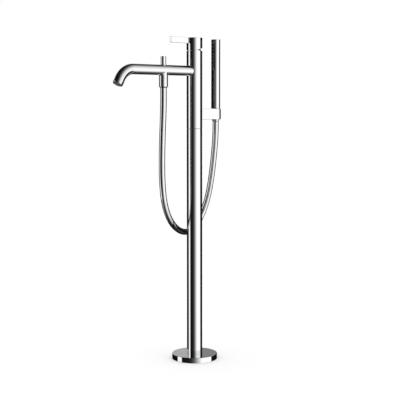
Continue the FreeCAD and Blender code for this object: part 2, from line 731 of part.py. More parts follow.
def hose_top_nut():
    """Round chrome nut with a bevel down to the hose."""
    bevel = OUTLET_R - HOSE_R - FINE_BEVEL
    nut = rod(OUTLET_R, NUT_Z, OUTLET_SEAM_Z - CLEAR, 0, DIVERTER_Y)
    nut = soften(nut, bevel, at_height(NUT_Z))
    nut = nut.cut(rod(HOSE_R + NUT_CLEAR, NUT_Z - BEYOND, HOSE_FLANGE_Z + BEYOND, 0, DIVERTER_Y))
    return nut.cut(rod(NUT_THREAD_R, HOSE_FLANGE_Z, OUTLET_SEAM_Z, 0, DIVERTER_Y))


def hose_top_ferrule():
    """Pressed fitting on the hose's upper end, held by the nut."""
    ferrule = rod(HOSE_R, HOSE_TOP_Z, HOSE_FLANGE_Z, 0, DIVERTER_Y)
    ferrule = ferrule.fuse(rod(FACE_WASHER_R, HOSE_FLANGE_Z, FACE_WASHER_Z, 0, DIVERTER_Y))
    return ferrule.cut(rod(HOSE_WAY_R, HOSE_TOP_Z - BEYOND, FACE_WASHER_Z + BEYOND, 0, DIVERTER_Y))


# ---------------------------------------------------------------- holder

def hand_shower_holder():
    """Arm as deep as its round end, with the bore for the liner and a blind screw hole."""
    low, high = HOLDER_Z - BEYOND, HOLDER_TOP_Z + BEYOND
    arm = block(-HOLDER_R, HOLDER_R, HOLDER_ROOT_Y, HOLDER_Y, HOLDER_Z, HOLDER_TOP_Z)
    body = arm.fuse(rod(HOLDER_R, HOLDER_Z, HOLDER_TOP_Z, 0, HOLDER_Y)).removeSplitter()
    body = soften(body, HOLDER_LOW_BEVEL, at_height(HOLDER_Z))
    body = soften(body, HOLDER_TOP_BEVEL, at_height(HOLDER_TOP_Z))
    body = body.cut(rod(COLUMN_R, low, high))
    body = body.cut(rod(LINER_R, low, high, 0, HOLDER_Y))
    screw_hole = lying(HOLDER_SCREW_R, Vec(0, 0, HOLDER_MID_Z), HOLDER_HOLE_END_Y, BACK)
    return body.cut(screw_hole)


def holder_screw():
    """Screw from inside the column into the arm."""
    start = Vec(0, HOLDER_SCREW_HEAD_Y, HOLDER_MID_Z)
    shank = lying(HOLDER_SCREW_R, start, HOLDER_SCREW_TIP_Y - HOLDER_SCREW_HEAD_Y, BACK)
    return shank.fuse(lying(HOLDER_SCREW_HEAD_R, start, HOLDER_SCREW_HEAD_H, BACK))


def holder_liner():
    """Plastic liner with the conical seat for the hose nut."""
    liner = rod(LINER_R, HOLDER_Z, HOLDER_TOP_Z, 0, HOLDER_Y)
    return liner.cut(hose_cone(CLEAR))


def hose_cone(grow=0.0):
    """Outer form of the hose's conical nut, or its seat when grown."""
    lower = cone(CONE_END_R + grow, CONE_BELLY_R + grow, CONE_Z, CONE_BELLY_Z, 0, HOLDER_Y)
    upper = cone(CONE_BELLY_R + grow, CONE_TOP_R + grow, CONE_BELLY_Z, HOLDER_TOP_Z, 0, HOLDER_Y)
    return lower.fuse(upper)


def hose_cone_nut():
    """Conical nut at the hand shower's end of the hose."""
    flange_z = FERRULE_TOP_Z - FERRULE_FLANGE_H
    nut = hose_cone()
    nut = nut.cut(rod(HOSE_R, CONE_Z - BEYOND, FERRULE_TOP_Z, 0, HOLDER_Y))
    return nut.cut(rod(THREAD_R + FIT, flange_z, HOLDER_TOP_Z + BEYOND, 0, HOLDER_Y))


def hose_end_ferrule():
    """Pressed fitting on the hose's lower end, which turns in the conical nut."""
    start_z = HOSE_ROUTE[-1][2]
    ferrule = rod(HOSE_R, start_z, FERRULE_TOP_Z, 0, HOLDER_Y)
    ferrule = ferrule.fuse(rod(THREAD_R, FERRULE_TOP_Z - FERRULE_FLANGE_H, FERRULE_TOP_Z, 0, HOLDER_Y))
    return ferrule.cut(rod(HOSE_WAY_R, start_z - BEYOND, FERRULE_TOP_Z + BEYOND, 0, HOLDER_Y))


def hose_washer():
    """Flat washer under the hand shower's thread."""
    return ring(THREAD_R, HOSE_WASHER_BORE_R, FERRULE_TOP_Z, FERRULE_TOP_Z + HOSE_WASHER_H, 0, HOLDER_Y)


# ---------------------------------------------------------------- hand shower

def hand_shower_tube():
    """Chrome stick with the slot of the spray strip."""
    tube = rod(STICK_R, STICK_Z, STICK_TOP_Z, 0, HOLDER_Y)
    tube = soften(tube, STICK_BEVEL, at_height(STICK_Z))
    tube = tube.cut(rod(STICK_BORE_R, STICK_Z - BEYOND, STICK_TOP_Z + BEYOND, 0, HOLDER_Y))
    return tube.cut(strip_slot())


def strip_slot():
    """Upright slot with round ends in the side that faces the spout."""
    front, back = HOLDER_Y - STICK_R - BEYOND, HOLDER_Y - SLOT_IN
    low, high = STRIP_Z + STRIP_HALF, STRIP_TOP_Z - STRIP_HALF
    slot = block(-STRIP_HALF, STRIP_HALF, front, back, low, high)
    for z in (low, high):
        slot = slot.fuse(lying(STRIP_HALF, Vec(0, front, z), back - front, BACK))
    return slot.removeSplitter()


def spray_strip():
    """Nozzle strip that fills the slot, a hair below the tube's surface."""
    low, high = STRIP_Z - BEYOND, STRIP_TOP_Z + BEYOND
    skin = ring(STICK_R - STRIP_SUNK, STICK_BORE_R, low, high, 0, HOLDER_Y)
    return skin.common(strip_slot())


def spray_chamber():
    """Plastic water chamber behind the spray strip."""
    foot_z = STRIP_Z - CHAMBER_END
    top_z = STICK_TOP_Z - TOP_CAP_H
    chamber = rod(STICK_BORE_R, foot_z, top_z, 0, HOLDER_Y)
    chamber = chamber.cut(rod(CHAMBER_BORE_R, foot_z + CHAMBER_FLOOR, top_z - TOP_CAP_GAP, 0, HOLDER_Y))
    return chamber.cut(rod(CHAMBER_INLET_R, foot_z - BEYOND, STRIP_Z, 0, HOLDER_Y))


def inner_tube():
    """Plastic tube that leads the water up inside the stick."""
    top_z = STRIP_Z - CHAMBER_END
    return ring(INNER_TUBE_R, INNER_TUBE_BORE_R, STICK_Z + INSERT_L, top_z, 0, HOLDER_Y)


def thread_insert():
    """Brass end with the male G1/2 thread that the conical nut takes."""
    thread_z, top_z = FERRULE_TOP_Z + THREAD_GAP, STICK_Z + INSERT_L
    insert = rod(STICK_BORE_R, STICK_Z, top_z, 0, HOLDER_Y)
    insert = insert.fuse(rod(THREAD_R, thread_z, STICK_Z, 0, HOLDER_Y))
    return insert.cut(rod(INNER_TUBE_R, thread_z - BEYOND, top_z + BEYOND, 0, HOLDER_Y))


def top_cap():
    """Flat disc that closes the stick."""
    return rod(STICK_BORE_R, STICK_TOP_Z - TOP_CAP_H, STICK_TOP_Z, 0, HOLDER_Y)


# ---------------------------------------------------------------- hose

def hose_path():
    """Straight runs and tangent arcs along the route, with each arc's radius."""
    points = [Vec(*p) for p in HOSE_ROUTE]
    edges = []
    radii = []
    last = points[0]
    for before, corner, after in zip(points, points[1:], points[2:]):
        came = corner - before
        goes = after - corner
        reach = ARC_SHARE * min(came.Length, goes.Length)
        radius = reach / math.tan(came.getAngle(goes) / 2)
        start = corner - came.normalize() * reach
        end = corner + goes.normalize() * reach
        inward = (start + end) * 0.5 - corner
        middle = corner + inward.normalize() * (math.hypot(radius, reach) - radius)
        edges.append(Part.LineSegment(last, start).toShape())
        edges.append(Part.Arc(start, middle, end).toShape())
        radii.append(radius)
        last = end
    edges.append(Part.LineSegment(last, points[-1]).toShape())
    return edges, radii


def shower_hose():
    """Smooth hose in one sweep, from the outlet nut to the conical nut."""
    edges, radii = hose_path()
    length = sum(e.Length for e in edges)
    first = Vec(*HOSE_ROUTE[0])
    circle = Part.Wire(Part.makeCircle(HOSE_R, first, Vec(*HOSE_ROUTE[1]) - first))
    hose = Part.Wire(edges).makePipeShell([circle], True, False)
    print("hose radii", [round(r) for r in radii], "least", round(min(radii), 1))
    print("hose length", round(length, 1))
    print("hose volume", round(hose.Volume), "section x length", round(math.pi * HOSE_R ** 2 * length))
    return hose


PIECES = {
    "floor_flange": floor_flange,
    "column_collar": column_collar,
    "collar_screws": collar_screws,
    "floor_rosette": floor_rosette,
    "rosette_seal": rosette_seal,
    "hot_inlet_union": lambda: inlet_union(-1),
    "cold_inlet_union": lambda: inlet_union(1),
    "supply_pipes": supply_pipes,
    "stand_pipe": stand_pipe,
    "seam_ring": seam_ring,
    "joint_sleeve": joint_sleeve,
    "pipe_spacer": pipe_spacer,
    "mixer_tube": mixer_tube,
    "valve_body": valve_body,
    "cartridge_seals": cartridge_seals,
    "cartridge_housing": cartridge_housing,
    "fixed_disc": fixed_disc,
    "moving_disc": moving_disc,
    "disc_driver": disc_driver,
    "turn_carrier": turn_carrier,
    "pivot_pin": pivot_pin,
    "cartridge_stem": cartridge_stem,
    "cartridge_nut": cartridge_nut,
    "dome_ring": dome_ring,
    "handle_cap": handle_cap,
    "lever_bar": lever_bar,
    "lever_screw": lever_screw,
    "cap_grub_screw": cap_grub_screw,
    "access_plug": access_plug,
    "spout_tube": spout_tube,
    "spout_nipple": spout_nipple,
    "spout_o_ring": spout_o_ring,
    "aerator_housing": aerator_housing,
    "aerator_insert": aerator_insert,
    "aerator_washer": aerator_washer,
    "diverter_bonnet": diverter_bonnet,
    "diverter_cage": diverter_cage,
    "diverter_knob": diverter_knob,
    "diverter_stem": diverter_stem,
    "diverter_plunger": diverter_plunger,
    "plunger_seal": plunger_seal,
    "diverter_spring": diverter_spring,
    "hose_outlet": hose_outlet,
    "check_valve": check_valve,
    "outlet_washer": outlet_washer,
    "hose_top_nut": hose_top_nut,
    "hose_top_ferrule": hose_top_ferrule,
    "hand_shower_holder": hand_shower_holder,
    "holder_screw": holder_screw,
    "holder_liner": holder_liner,
    "hose_cone_nut": hose_cone_nut,
    "hose_end_ferrule": hose_end_ferrule,
    "hose_washer": hose_washer,
    "hand_shower_tube": hand_shower_tube,
    "spray_strip": spray_strip,
    "spray_chamber": spray_chamber,
    "inner_tube": inner_tube,
    "thread_insert": thread_insert,
    "top_cap": top_cap,
    "shower_hose": shower_hose,
}

os.makedirs("parts", exist_ok=True)
for piece_name, make_piece in PIECES.items():
    piece = make_piece()
    print(piece_name, "solids", len(piece.Solids), "volume", round(piece.Volume, 1), piece.isValid())
    save(piece_name, piece)
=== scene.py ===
# %% [markdown]
# # Floor standing bath filler
#
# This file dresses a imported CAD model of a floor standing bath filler: a slim chrome column with a long spout, a
# flat lever, and a hand shower on a hose. The CAD model gives every size and place. Blender gives smooth
# surfaces, finishes, light and the camera. Each step says what the piece is on the real object, how it could be
# made, and why it is made this way. Lengths are in millimetres until a mesh is made, because such pieces are
# drawn in millimetres.

# %% Load the frame
import bpy
import bmesh
import json
from math import copysign, cos, pi, radians, sin, sqrt, tan
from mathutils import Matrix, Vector

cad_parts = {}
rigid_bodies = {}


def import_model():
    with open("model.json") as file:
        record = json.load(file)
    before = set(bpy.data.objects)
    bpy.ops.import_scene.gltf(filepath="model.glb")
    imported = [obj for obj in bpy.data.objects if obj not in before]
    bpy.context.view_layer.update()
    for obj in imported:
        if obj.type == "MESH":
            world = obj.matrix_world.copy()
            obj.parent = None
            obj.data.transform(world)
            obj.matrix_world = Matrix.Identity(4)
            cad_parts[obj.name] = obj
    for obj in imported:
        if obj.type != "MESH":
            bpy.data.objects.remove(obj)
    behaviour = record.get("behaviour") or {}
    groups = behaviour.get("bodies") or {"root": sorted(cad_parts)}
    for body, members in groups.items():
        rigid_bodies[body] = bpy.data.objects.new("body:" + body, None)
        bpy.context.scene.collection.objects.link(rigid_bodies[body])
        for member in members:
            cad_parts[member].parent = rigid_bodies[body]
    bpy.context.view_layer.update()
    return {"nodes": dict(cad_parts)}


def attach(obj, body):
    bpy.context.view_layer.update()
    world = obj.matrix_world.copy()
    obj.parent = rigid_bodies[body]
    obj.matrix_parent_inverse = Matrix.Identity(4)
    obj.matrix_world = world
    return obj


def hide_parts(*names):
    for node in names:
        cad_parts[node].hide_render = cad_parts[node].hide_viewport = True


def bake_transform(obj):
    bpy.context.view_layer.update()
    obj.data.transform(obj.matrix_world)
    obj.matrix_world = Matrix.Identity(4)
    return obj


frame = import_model()
MM = 0.001
ACROSS = Vector((1, 0, 0))


def put(name, data):
    """Adds an object to the scene."""
    made = bpy.data.objects.new(name, data)
    bpy.context.scene.collection.objects.link(made)
    return made


# %% [markdown]
# ## Camera
#
# The photograph was taken from the front right, a little above the middle of the filler. A camera could be
# placed by eye. Here it was solved from things of known shape: the column's width at two heights and the
# ellipse of the floor rosette. It is tilted down a little instead of shifted, so that other views stay centred.

# %% Place the camera
VIEW_AZIMUTH, TILT_DOWN = radians(45.0), radians(5.45)
CAMERA_DISTANCE, CAMERA_HEIGHT, SIDESTEP = 2.623, 0.675, 0.0145

towards_camera = Vector((sin(VIEW_AZIMUTH), -cos(VIEW_AZIMUTH), 0))
viewers_right = Vector((cos(VIEW_AZIMUTH), sin(VIEW_AZIMUTH), 0))
lens_data = bpy.data.cameras.new("portrait_lens")
lens_data.sensor_width = 36.0
lens_data.lens = 89.78
camera = put("camera", lens_data)
camera.location = towards_camera * CAMERA_DISTANCE + viewers_right * SIDESTEP + Vector((0, 0, CAMERA_HEIGHT))
camera.rotation_euler = (pi / 2 - TILT_DOWN, 0, VIEW_AZIMUTH)
bpy.context.scene.camera = camera
print("camera at", [round(v, 3) for v in camera.location])

# %% [markdown]
# ## Writing shader maths as plain sums
#
# A Blender material is a graph of small nodes. Placed one by one they are long to read, so two classes help.
# `Level` stands for one output of a node, and sums on it add Math nodes. `Sheet` adds any other node in one
# call: its type, its settings, then the values or links of its sockets.

# %% A level
class Level:
    """One output of a node. Sums, products and powers of it become Math nodes."""

    def __init__(self, sheet, socket):
        self.sheet, self.socket = sheet, socket

    def maths(self, operation, other=0.0):
        """A Math node on this level and another level or number."""
        return self.sheet.add("ShaderNodeMath", {"operation": operation}, {0: self, 1: other})

    def maths_after(self, operation, other):
        """The same with the other one first, as in 1 - level."""
        return self.sheet.add("ShaderNodeMath", {"operation": operation}, {0: other, 1: self})


def overload(sign, operation):
    """Lets a sign add its Math node, with the level on the left or on the right of it."""
    setattr(Level, f"__{sign}__", lambda self, other: self.maths(operation, other))
    setattr(Level, f"__r{sign}__", lambda self, other: self.maths_after(operation, other))


overload("add", "ADD")
overload("sub", "SUBTRACT")
overload("mul", "MULTIPLY")
overload("truediv", "DIVIDE")
overload("pow", "POWER")


# %% A sheet of nodes
class Sheet:
    """A node graph that is written from top to bottom."""

    def __init__(self, tree):
        self.tree = tree
        self.tree.nodes.clear()

    def node(self, kind, settings=None, sockets=None):
        """Adds a node: its settings first, then its sockets' values and links."""
        made = self.tree.nodes.new(kind)
        for key, value in (settings or {}).items():
            if key == "stops":
                self.set_stops(made.color_ramp, value)
            else:
                setattr(made, key, value)
        for key, value in (sockets or {}).items():
            if isinstance(value, Level):
                self.tree.links.new(value.socket, made.inputs[key])
            else:
                made.inputs[key].default_value = value
        return made

    def add(self, kind, settings=None, sockets=None, output=0):
        """Adds a node and gives one of its outputs."""
        return Level(self, self.node(kind, settings, sockets).outputs[output])

    def split(self, vector):
        """The X and Y of a vector."""
        parts = self.node("ShaderNodeSeparateXYZ", None, {"Vector": vector})
        return Level(self, parts.outputs["X"]), Level(self, parts.outputs["Y"])

    @staticmethod
    def set_stops(ramp, stops):
        """Writes the stops of a ramp of greys."""
        while len(ramp.elements) > 1:
            ramp.elements.remove(ramp.elements[-1])
        for k, (position, grey) in enumerate(stops):
            stop = ramp.elements[0] if k == 0 else ramp.elements.new(position)
            stop.position = position
            stop.color = (grey, grey, grey, 1.0)


# %% [markdown]
# ## Finishes
#
# Chrome plating is a mirror over brass: what it looks like is mostly the room. Its own detail is small: a faint
# wave in the polish, and wipe marks that change the gloss a little. A single roughness number would look like
# plastic wrap, so roughness and normal come from noise in object space, which stays put on the piece. The
# hidden parts have turned brass, drawn copper, moulded plastic and rubber, each with the marks of its making.

# %% Helpers that every finish uses
def start_finish(name):
    """A new material with an empty sheet, and the object-space position for its patterns."""
    material = bpy.data.materials.new(name)
    material.use_nodes = True
    return material, Sheet(material.node_tree).add("ShaderNodeTexCoord", output="Object")


def close_finish(sheet, sockets):
    """Ends a sheet in one Principled shader with these sockets."""
    shader = sheet.add("ShaderNodeBsdfPrincipled", None, sockets)
    sheet.node("ShaderNodeOutputMaterial", None, {"Surface": shader})


def speckle(where, scale, detail=2.0, stretch=(1, 1, 1)):
    """Noise from 0 to 1 in object space; stretch squeezes it along an axis."""
    placed = where.sheet.add("ShaderNodeMapping", None, {"Vector": where, "Scale": stretch})
    return where.sheet.add("ShaderNodeTexNoise", None, {"Vector": placed, "Scale": scale, "Detail": detail})


def blend_colours(share, low, high):
    """A colour between two, by a share from 0 to 1."""
    return share.sheet.add("ShaderNodeMix", {"data_type": "RGBA"},
                           {"Factor": share, "A": (*low, 1.0), "B": (*high, 1.0)}, output="Result")


def bumped(height, strength, distance):
    """A normal from a height pattern."""
    return height.sheet.add("ShaderNodeBump", None, {"Height": height, "Strength": strength, "Distance": distance})


# %% Chrome and the hose's silver
PALE_SILVER = (0.93, 0.935, 0.94)


def chrome_finish():
    """Polished plating: mirror with faint polish waves and wipe marks."""
    material, where = start_finish("polished_chrome_finish")
    waves = speckle(where, 22.0, 1.0)
    wipes = speckle(where, 60.0, 4.0, (1.0, 1.0, 0.25))
    close_finish(where.sheet, {
        "Base Color": blend_colours(waves, (0.89, 0.895, 0.90), PALE_SILVER),
        "Roughness": 0.022 + 0.030 * (wipes ** 3.0) + 0.006 * speckle(where, 900.0),
        "Metallic": 1.0, "Normal": bumped(waves + 0.15 * wipes, 0.025, 0.001)})
    return material


def hose_finish():
    """Silver foil under clear plastic, with the fine wound line of the reinforcement."""
    material, where = start_finish("silver_hose_finish")
    around, along = where.sheet.split(where.sheet.add("ShaderNodeUVMap", {"uv_map": "hose_uv"}))
    ridge = 0.5 + 0.5 * ((along + around) * (2 * pi)).maths("SINE")
    blotch = speckle(where, 70.0, 3.0)
    close_finish(where.sheet, {
        "Base Color": blend_colours(0.75 * ridge + 0.25 * blotch, (0.80, 0.805, 0.81), PALE_SILVER),
        "Roughness": 0.040 + 0.03 * blotch, "Metallic": 1.0, "Normal": bumped(ridge, 0.03, 0.0003),
        "Coat Weight": 0.25, "Coat Roughness": 0.03})
    return material


# %% Metals, plastic, rubber and ceramic inside
def machined_finish(name, low, high, roughness, ring_scale):
    """Metal with the fine lines that a lathe or a drawing die leaves."""
    material, where = start_finish(name)
    lines = speckle(where, 30.0, 3.0, (1.0, 1.0, ring_scale))
    stain = speckle(where, 45.0, 3.0)
    close_finish(where.sheet, {
        "Base Color": blend_colours(0.6 * stain + 0.4 * lines, low, high),
        "Roughness": roughness + 0.18 * stain, "Metallic": 1.0, "Normal": bumped(lines, 0.12, 0.0002)})
    return material


def moulded_finish(name, low, high, roughness, grain):
    """Plastic, rubber or ceramic: even colour with faint mottling and a moulded grain."""
    material, where = start_finish(name)
    mottle = speckle(where, 90.0, 3.0)
    close_finish(where.sheet, {
        "Base Color": blend_colours(mottle, low, high), "Roughness": roughness + 0.12 * mottle,
        "Normal": bumped(speckle(where, 1400.0), grain, 0.0002)})
    return material


# %% One finish for each material slot of the record
FINISHES = {
    "polished_chrome": chrome_finish(),
    "silver_hose": hose_finish(),
    "brass": machined_finish("turned_brass", (0.62, 0.43, 0.17), (0.82, 0.62, 0.30), 0.22, 40.0),
    "steel": machined_finish("bright_steel", (0.48, 0.48, 0.49), (0.66, 0.66, 0.67), 0.24, 30.0),
    "copper": machined_finish("drawn_copper", (0.66, 0.30, 0.19), (0.88, 0.50, 0.36), 0.20, 0.05),
    "white_plastic": moulded_finish("white_acetal", (0.74, 0.74, 0.72), (0.82, 0.82, 0.80), 0.35, 0.15),
    "grey_plastic": moulded_finish("grey_acetal", (0.13, 0.13, 0.135), (0.18, 0.18, 0.185), 0.38, 0.15),
    "black_rubber": moulded_finish("seal_rubber", (0.018, 0.018, 0.018), (0.035, 0.035, 0.034), 0.55, 0.30),
    "white_ceramic": moulded_finish("ground_ceramic", (0.80, 0.79, 0.76), (0.86, 0.85, 0.83), 0.12, 0.05),
    # The seam's near-black colour is painted shade: it stands for the shadow in the gap between the column's two
    # tubes.
    "dark_seam": moulded_finish("dark_seam_finish", (0.010, 0.010, 0.011), (0.025, 0.025, 0.026), 0.50, 0.20),
}
nozzle_silicone = moulded_finish("nozzle_silicone", (0.045, 0.046, 0.048), (0.075, 0.076, 0.08), 0.42, 0.20)
print("finishes:", len(bpy.data.materials))

# %% [markdown]
# ## How a piece becomes a mesh
#
# Nearly every part of a tap is turned on a lathe or drawn as a tube, so it can be described by rings of
# points that follow each other. `skin` joins the rings with quads. A ring of a single point closes a pole.
# Blender's Screw modifier could do the same for the turned parts, but rings in code also serve the bent spout,
# the hose, and the cap whose lower rim is oblique. Chrome shows every wrong normal, so each rounded corner
# gets a guard point beside it: the long flat walls then keep straight normals.

# %% Steps round a circle
ROUND = 96


def circle(steps=ROUND):
    """Cosine and sine of each step round a circle."""
    turns = [2 * pi * k / steps for k in range(steps)]
    return [(cos(a), sin(a)) for a in turns]


def quarter(steps):
    """A quarter round: 1 - sine and 1 - cosine of each step, the first falling to 0, the second rising to 1."""
    turns = [radians(90 * k / steps) for k in range(steps + 1)]
    return [(1 - sin(a), 1 - cos(a)) for a in turns]


# %% Outline with rounded corners
ROUND_STEPS, GUARD = 5, 0.35


def eased(corners, loop=True):
    """An outline of (radius, height, rounding) corners, rounded, with guard points beside each round."""
    outline = []
    last = len(corners) - 1
    for k, (r, z, size) in enumerate(corners):
        here = Vector((r, z))
        if size == 0 or (not loop and k in (0, last)):
            outline.append(here)
            continue
        before = Vector(corners[k - 1][:2]) - here
        after = Vector(corners[(k + 1) % len(corners)][:2]) - here
        half = before.angle(after) / 2
        reach = size / tan(half)
        first, second = before.normalized(), after.normalized()
        centre = here + (first + second).normalized() * (size / sin(half))
        start = here + first * reach - centre
        swing = start.angle_signed(here + second * reach - centre)
        if before.length > reach + 3 * GUARD * size:
            outline.append(centre + start + first * (GUARD * size))
        for step in range(ROUND_STEPS + 1):
            c, s = cos(-swing * step / ROUND_STEPS), sin(-swing * step / ROUND_STEPS)
            outline.append(centre + Vector((start.x * c - start.y * s, start.x * s + start.y * c)))
        if after.length > reach + 3 * GUARD * size:
            outline.append(here + second * (reach + GUARD * size))
    return outline


# %% Rings to faces
def skin(rings, loop=False, ends=False):
    """Points and faces over a row of rings. loop joins the last ring to the first; ends closes both with a face."""
    points, starts, faces = [], [], []
    for ring in rings:
        starts.append(len(points))
        points += ring
    pairs = list(zip(range(len(rings)), range(1, len(rings))))
    if loop:
        pairs.append((len(rings) - 1, 0))
    for a, b in pairs:
        count = max(len(rings[a]), len(rings[b]))
        for k in range(count):
            m = (k + 1) % count
            corners = [starts[i] + (j if len(rings[i]) > 1 else 0) for i, j in ((a, k), (a, m), (b, m), (b, k))]
            faces.append(list(dict.fromkeys(corners)))
    if ends:
        faces += [[starts[i] + k for k in range(len(rings[i]))] for i in (0, -1)]
    return points, faces


# %% Turned parts
def ring_at(radius, z, y=0.0, steps=ROUND):
    """One level ring of points, or a single point when the radius is 0."""
    if radius < 1e-6:
        return [Vector((0, y, z))]
    return [Vector((radius * c, y + radius * s, z)) for c, s in circle(steps)]


def turned(corners, y=0.0, loop=True, steps=ROUND):
    """A part turned on a lathe from its outline."""
    return skin([ring_at(p.x, p.y, y, steps) for p in eased(corners, loop)], loop)


# %% Finish a piece
SHARP = radians(35)


def make_mesh(name, shape, finish):
    """A smooth-shaded mesh object at the origin, in metres, with its faces outward."""
    points, faces = shape
    mesh = bpy.data.meshes.new(name)
    mesh.from_pydata([Vector(p) * MM for p in points], [], faces)
    form = bmesh.new()
    form.from_mesh(mesh)
    if form.calc_volume(signed=True) < 0:
        bmesh.ops.reverse_faces(form, faces=form.faces)
    form.to_mesh(mesh)
    form.free()
    mesh.shade_smooth()
    mesh.set_sharp_from_angle(angle=SHARP)
    mesh.materials.append(finish)
    print(name, "faces:", len(faces))
    return put(name, mesh)


def seat(piece, node=None, body="column"):
    """Lets a piece ride on its body in place of its CAD node."""
    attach(piece, body)
    if node:
        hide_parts(node)


def make_piece(name, shape, node, slot="polished_chrome", body="column"):
    """Mesh, finish and body of one piece."""
    seat(make_mesh(name, shape, FINISHES[slot]), node, body)


# %% [markdown]
# ## The shower hose
#
# A shower hose is a smooth silver tube, limp enough to hang in one loop from the outlet under the spout, behind
# the column, and up to the conical nut in the holder. It could be a curve object with a bevel. Here a NURBS
# curve gives the line and a mesh tube follows it, because the tube then has a map along its length for the fine
# wound thread under the clear plastic. The control points are the route of the CAD hose.

# %% The hose's line
HOSE_R = 8.25
HOSE_ROUTE = [
    (0, -110.3, 724.5), (0, -110.3, 672.5), (-1.5, -112.6, 609.7), (-4, -113, 542.5), (-8, -109, 474.9),
    (-14, -95, 413.5), (-26, -60.5, 365.5), (-45.5, -9, 337.2), (-61, 41.5, 330), (-62, 84, 361.6),
    (-45, 95.5, 419.6), (-25, 90.5, 483.3), (-9.5, 84, 546.8), (0, 79.7, 596.2), (0, 79.7, 629.5),
]


def smooth_line(name, route):
    """Points along a NURBS curve of order 3 through its ends."""
    curve = bpy.data.curves.new(name, "CURVE")
    curve.dimensions = "3D"
    spline = curve.splines.new("NURBS")
    spline.points.add(len(route) - 1)
    for point, (x, y, z) in zip(spline.points, route):
        point.co = (x * MM, y * MM, z * MM, 1.0)
    spline.order_u = 3
    spline.use_endpoint_u = True
    spline.resolution_u = 20
    holder = put(name, curve)
    bpy.context.view_layer.update()
    line = bpy.data.meshes.new_from_object(holder.evaluated_get(bpy.context.evaluated_depsgraph_get()))
    points = [v.co / MM for v in line.vertices]
    bpy.data.objects.remove(holder)
    bpy.data.meshes.remove(line)
    return points


hose_line = smooth_line("hose_line", HOSE_ROUTE)

# %% The hose's tube
HOSE_STEPS = 32
WINDING = 3.2


def tube_rings(line, radius, steps):
    """Rings square to a line, carried along it without twist."""
    rings, across = [], ACROSS
    for k, place in enumerate(line):
        way = (line[min(k + 1, len(line) - 1)] - line[max(k - 1, 0)]).normalized()
        across = (across - way * across.dot(way)).normalized()
        side = way.cross(across)
        rings.append([place + (across * c + side * s) * radius for c, s in circle(steps)])
    return rings


def map_along(piece, line, steps):
    """Writes the hose's UV map: once round it in U, and the number of windings so far in V."""
    run = [0.0]
    for a, b in zip(line, line[1:]):
        run.append(run[-1] + (b - a).length / WINDING)
    layer = piece.data.uv_layers.new(name="hose_uv")
    for face in piece.data.polygons:
        corners = [piece.data.loops[i].vertex_index for i in face.loop_indices]
        around = [c % steps for c in corners]
        crosses = max(around) - min(around) > steps // 2
        for i, c, a in zip(face.loop_indices, corners, around):
            u = (a + steps if crosses and a < steps // 2 else a) / steps
            layer.data[i].uv = (u, run[min(c // steps, len(run) - 1)])


hose_shape = skin(tube_rings(hose_line, HOSE_R, HOSE_STEPS), ends=True)
shower_hose = make_mesh("shower_hose_smooth", hose_shape, FINISHES["silver_hose"])
map_along(shower_hose, hose_line, HOSE_STEPS)
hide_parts("shower_hose")
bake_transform(shower_hose)

# %% [markdown]
# ## Floor rosette
#
# The rosette is a pressed and plated plate that hides the anchors. It is a round tray, open underneath, with
# a softly rounded top edge. One closed outline round its wall, turned on the lathe, gives both faces.

# %% Rosette
ROSETTE_R, ROSETTE_TOP_Z, ROSETTE_BORE_R = 60.0, 14.0, 20.8
TRAY_R, TRAY_Z = 58.0, 12.0
make_piece("rosette_cover", turned([
    (ROSETTE_R, 0.0, 0.3), (ROSETTE_R, ROSETTE_TOP_Z, 0.9), (ROSETTE_BORE_R, ROSETTE_TOP_Z, 0.3),
    (ROSETTE_BORE_R, TRAY_Z, 0), (TRAY_R, TRAY_Z, 0.8), (TRAY_R, 0.0, 0.3)], steps=160), "floor_rosette")

# %% [markdown]
# ## Column
#
# Two drawn tubes stand on each other: the stand pipe from the floor and the mixer tube above it, with a hair
# of seam between them. The seam is a thin ring whose near-black colour is painted shade of the gap. Each tube is
# one closed outline of wall, with a tiny round at each end that catches a line of light, as a deburred tube does.

# %% Stand pipe, seam ring and mixer tube
COLUMN_R, COLUMN_BORE_R, COLUMN_TOP_Z = 20.5, 18.5, 814.4
SEAM_R, SEAM_LOW, SEAM_HIGH = 20.1, 612.5, 613.3


def column_tube(outer, low, high, ease):
    """A length of tube with the column's bore."""
    return turned([(outer, low, ease), (outer, high, ease), (COLUMN_BORE_R, high, 0), (COLUMN_BORE_R, low, 0)])


make_piece("stand_tube", column_tube(COLUMN_R, 8.0, SEAM_LOW, 0.25), "stand_pipe")
# The seam ring is near black: painted shade that stands for the shadow in the gap between the tubes.
make_piece("shadow_ring", column_tube(SEAM_R, SEAM_LOW, SEAM_HIGH, 0.1), "seam_ring", "dark_seam")
make_piece("upper_tube", column_tube(COLUMN_R, SEAM_HIGH, COLUMN_TOP_Z, 0.25), "mixer_tube")

# %% [markdown]
# ## Dome ring
#
# Under the cap sits a ball-shaped trim ring. When the lever lifts, the cap tips over this ball, so the gap
# never opens into the mechanism. Its outline follows two circles round the pivot, outside and inside.

# %% Dome ring
PIVOT_Z = 804.5
DOME_R, DOME_WALL, DOME_FOOT_Z = 21.2, 1.6, 807.5
DOME_FOOT_R, DOME_STEP_R, DOME_BORE_R, DOME_EYE_R = 18.4, 17.3, 15.0, 13.0
DOME_STEP_Z = COLUMN_TOP_Z - 0.5


def ball_points(radius, r_from, r_to, steps=6):
    """Outline points on a ball round the pivot, between two distances from the axis."""
    radii = [r_from + (r_to - r_from) * k / steps for k in range(steps + 1)]
    return [(r, PIVOT_Z + sqrt(radius ** 2 - r ** 2), 0) for r in radii]


make_piece("ball_ring", turned(
    [(DOME_FOOT_R, DOME_FOOT_Z, 0), (DOME_FOOT_R, DOME_STEP_Z, 0), (DOME_STEP_R, DOME_STEP_Z, 0)]
    + ball_points(DOME_R, DOME_STEP_R, DOME_EYE_R) + ball_points(DOME_R - DOME_WALL, DOME_EYE_R, DOME_BORE_R)
    + [(DOME_BORE_R, DOME_FOOT_Z, 0)]), "dome_ring")

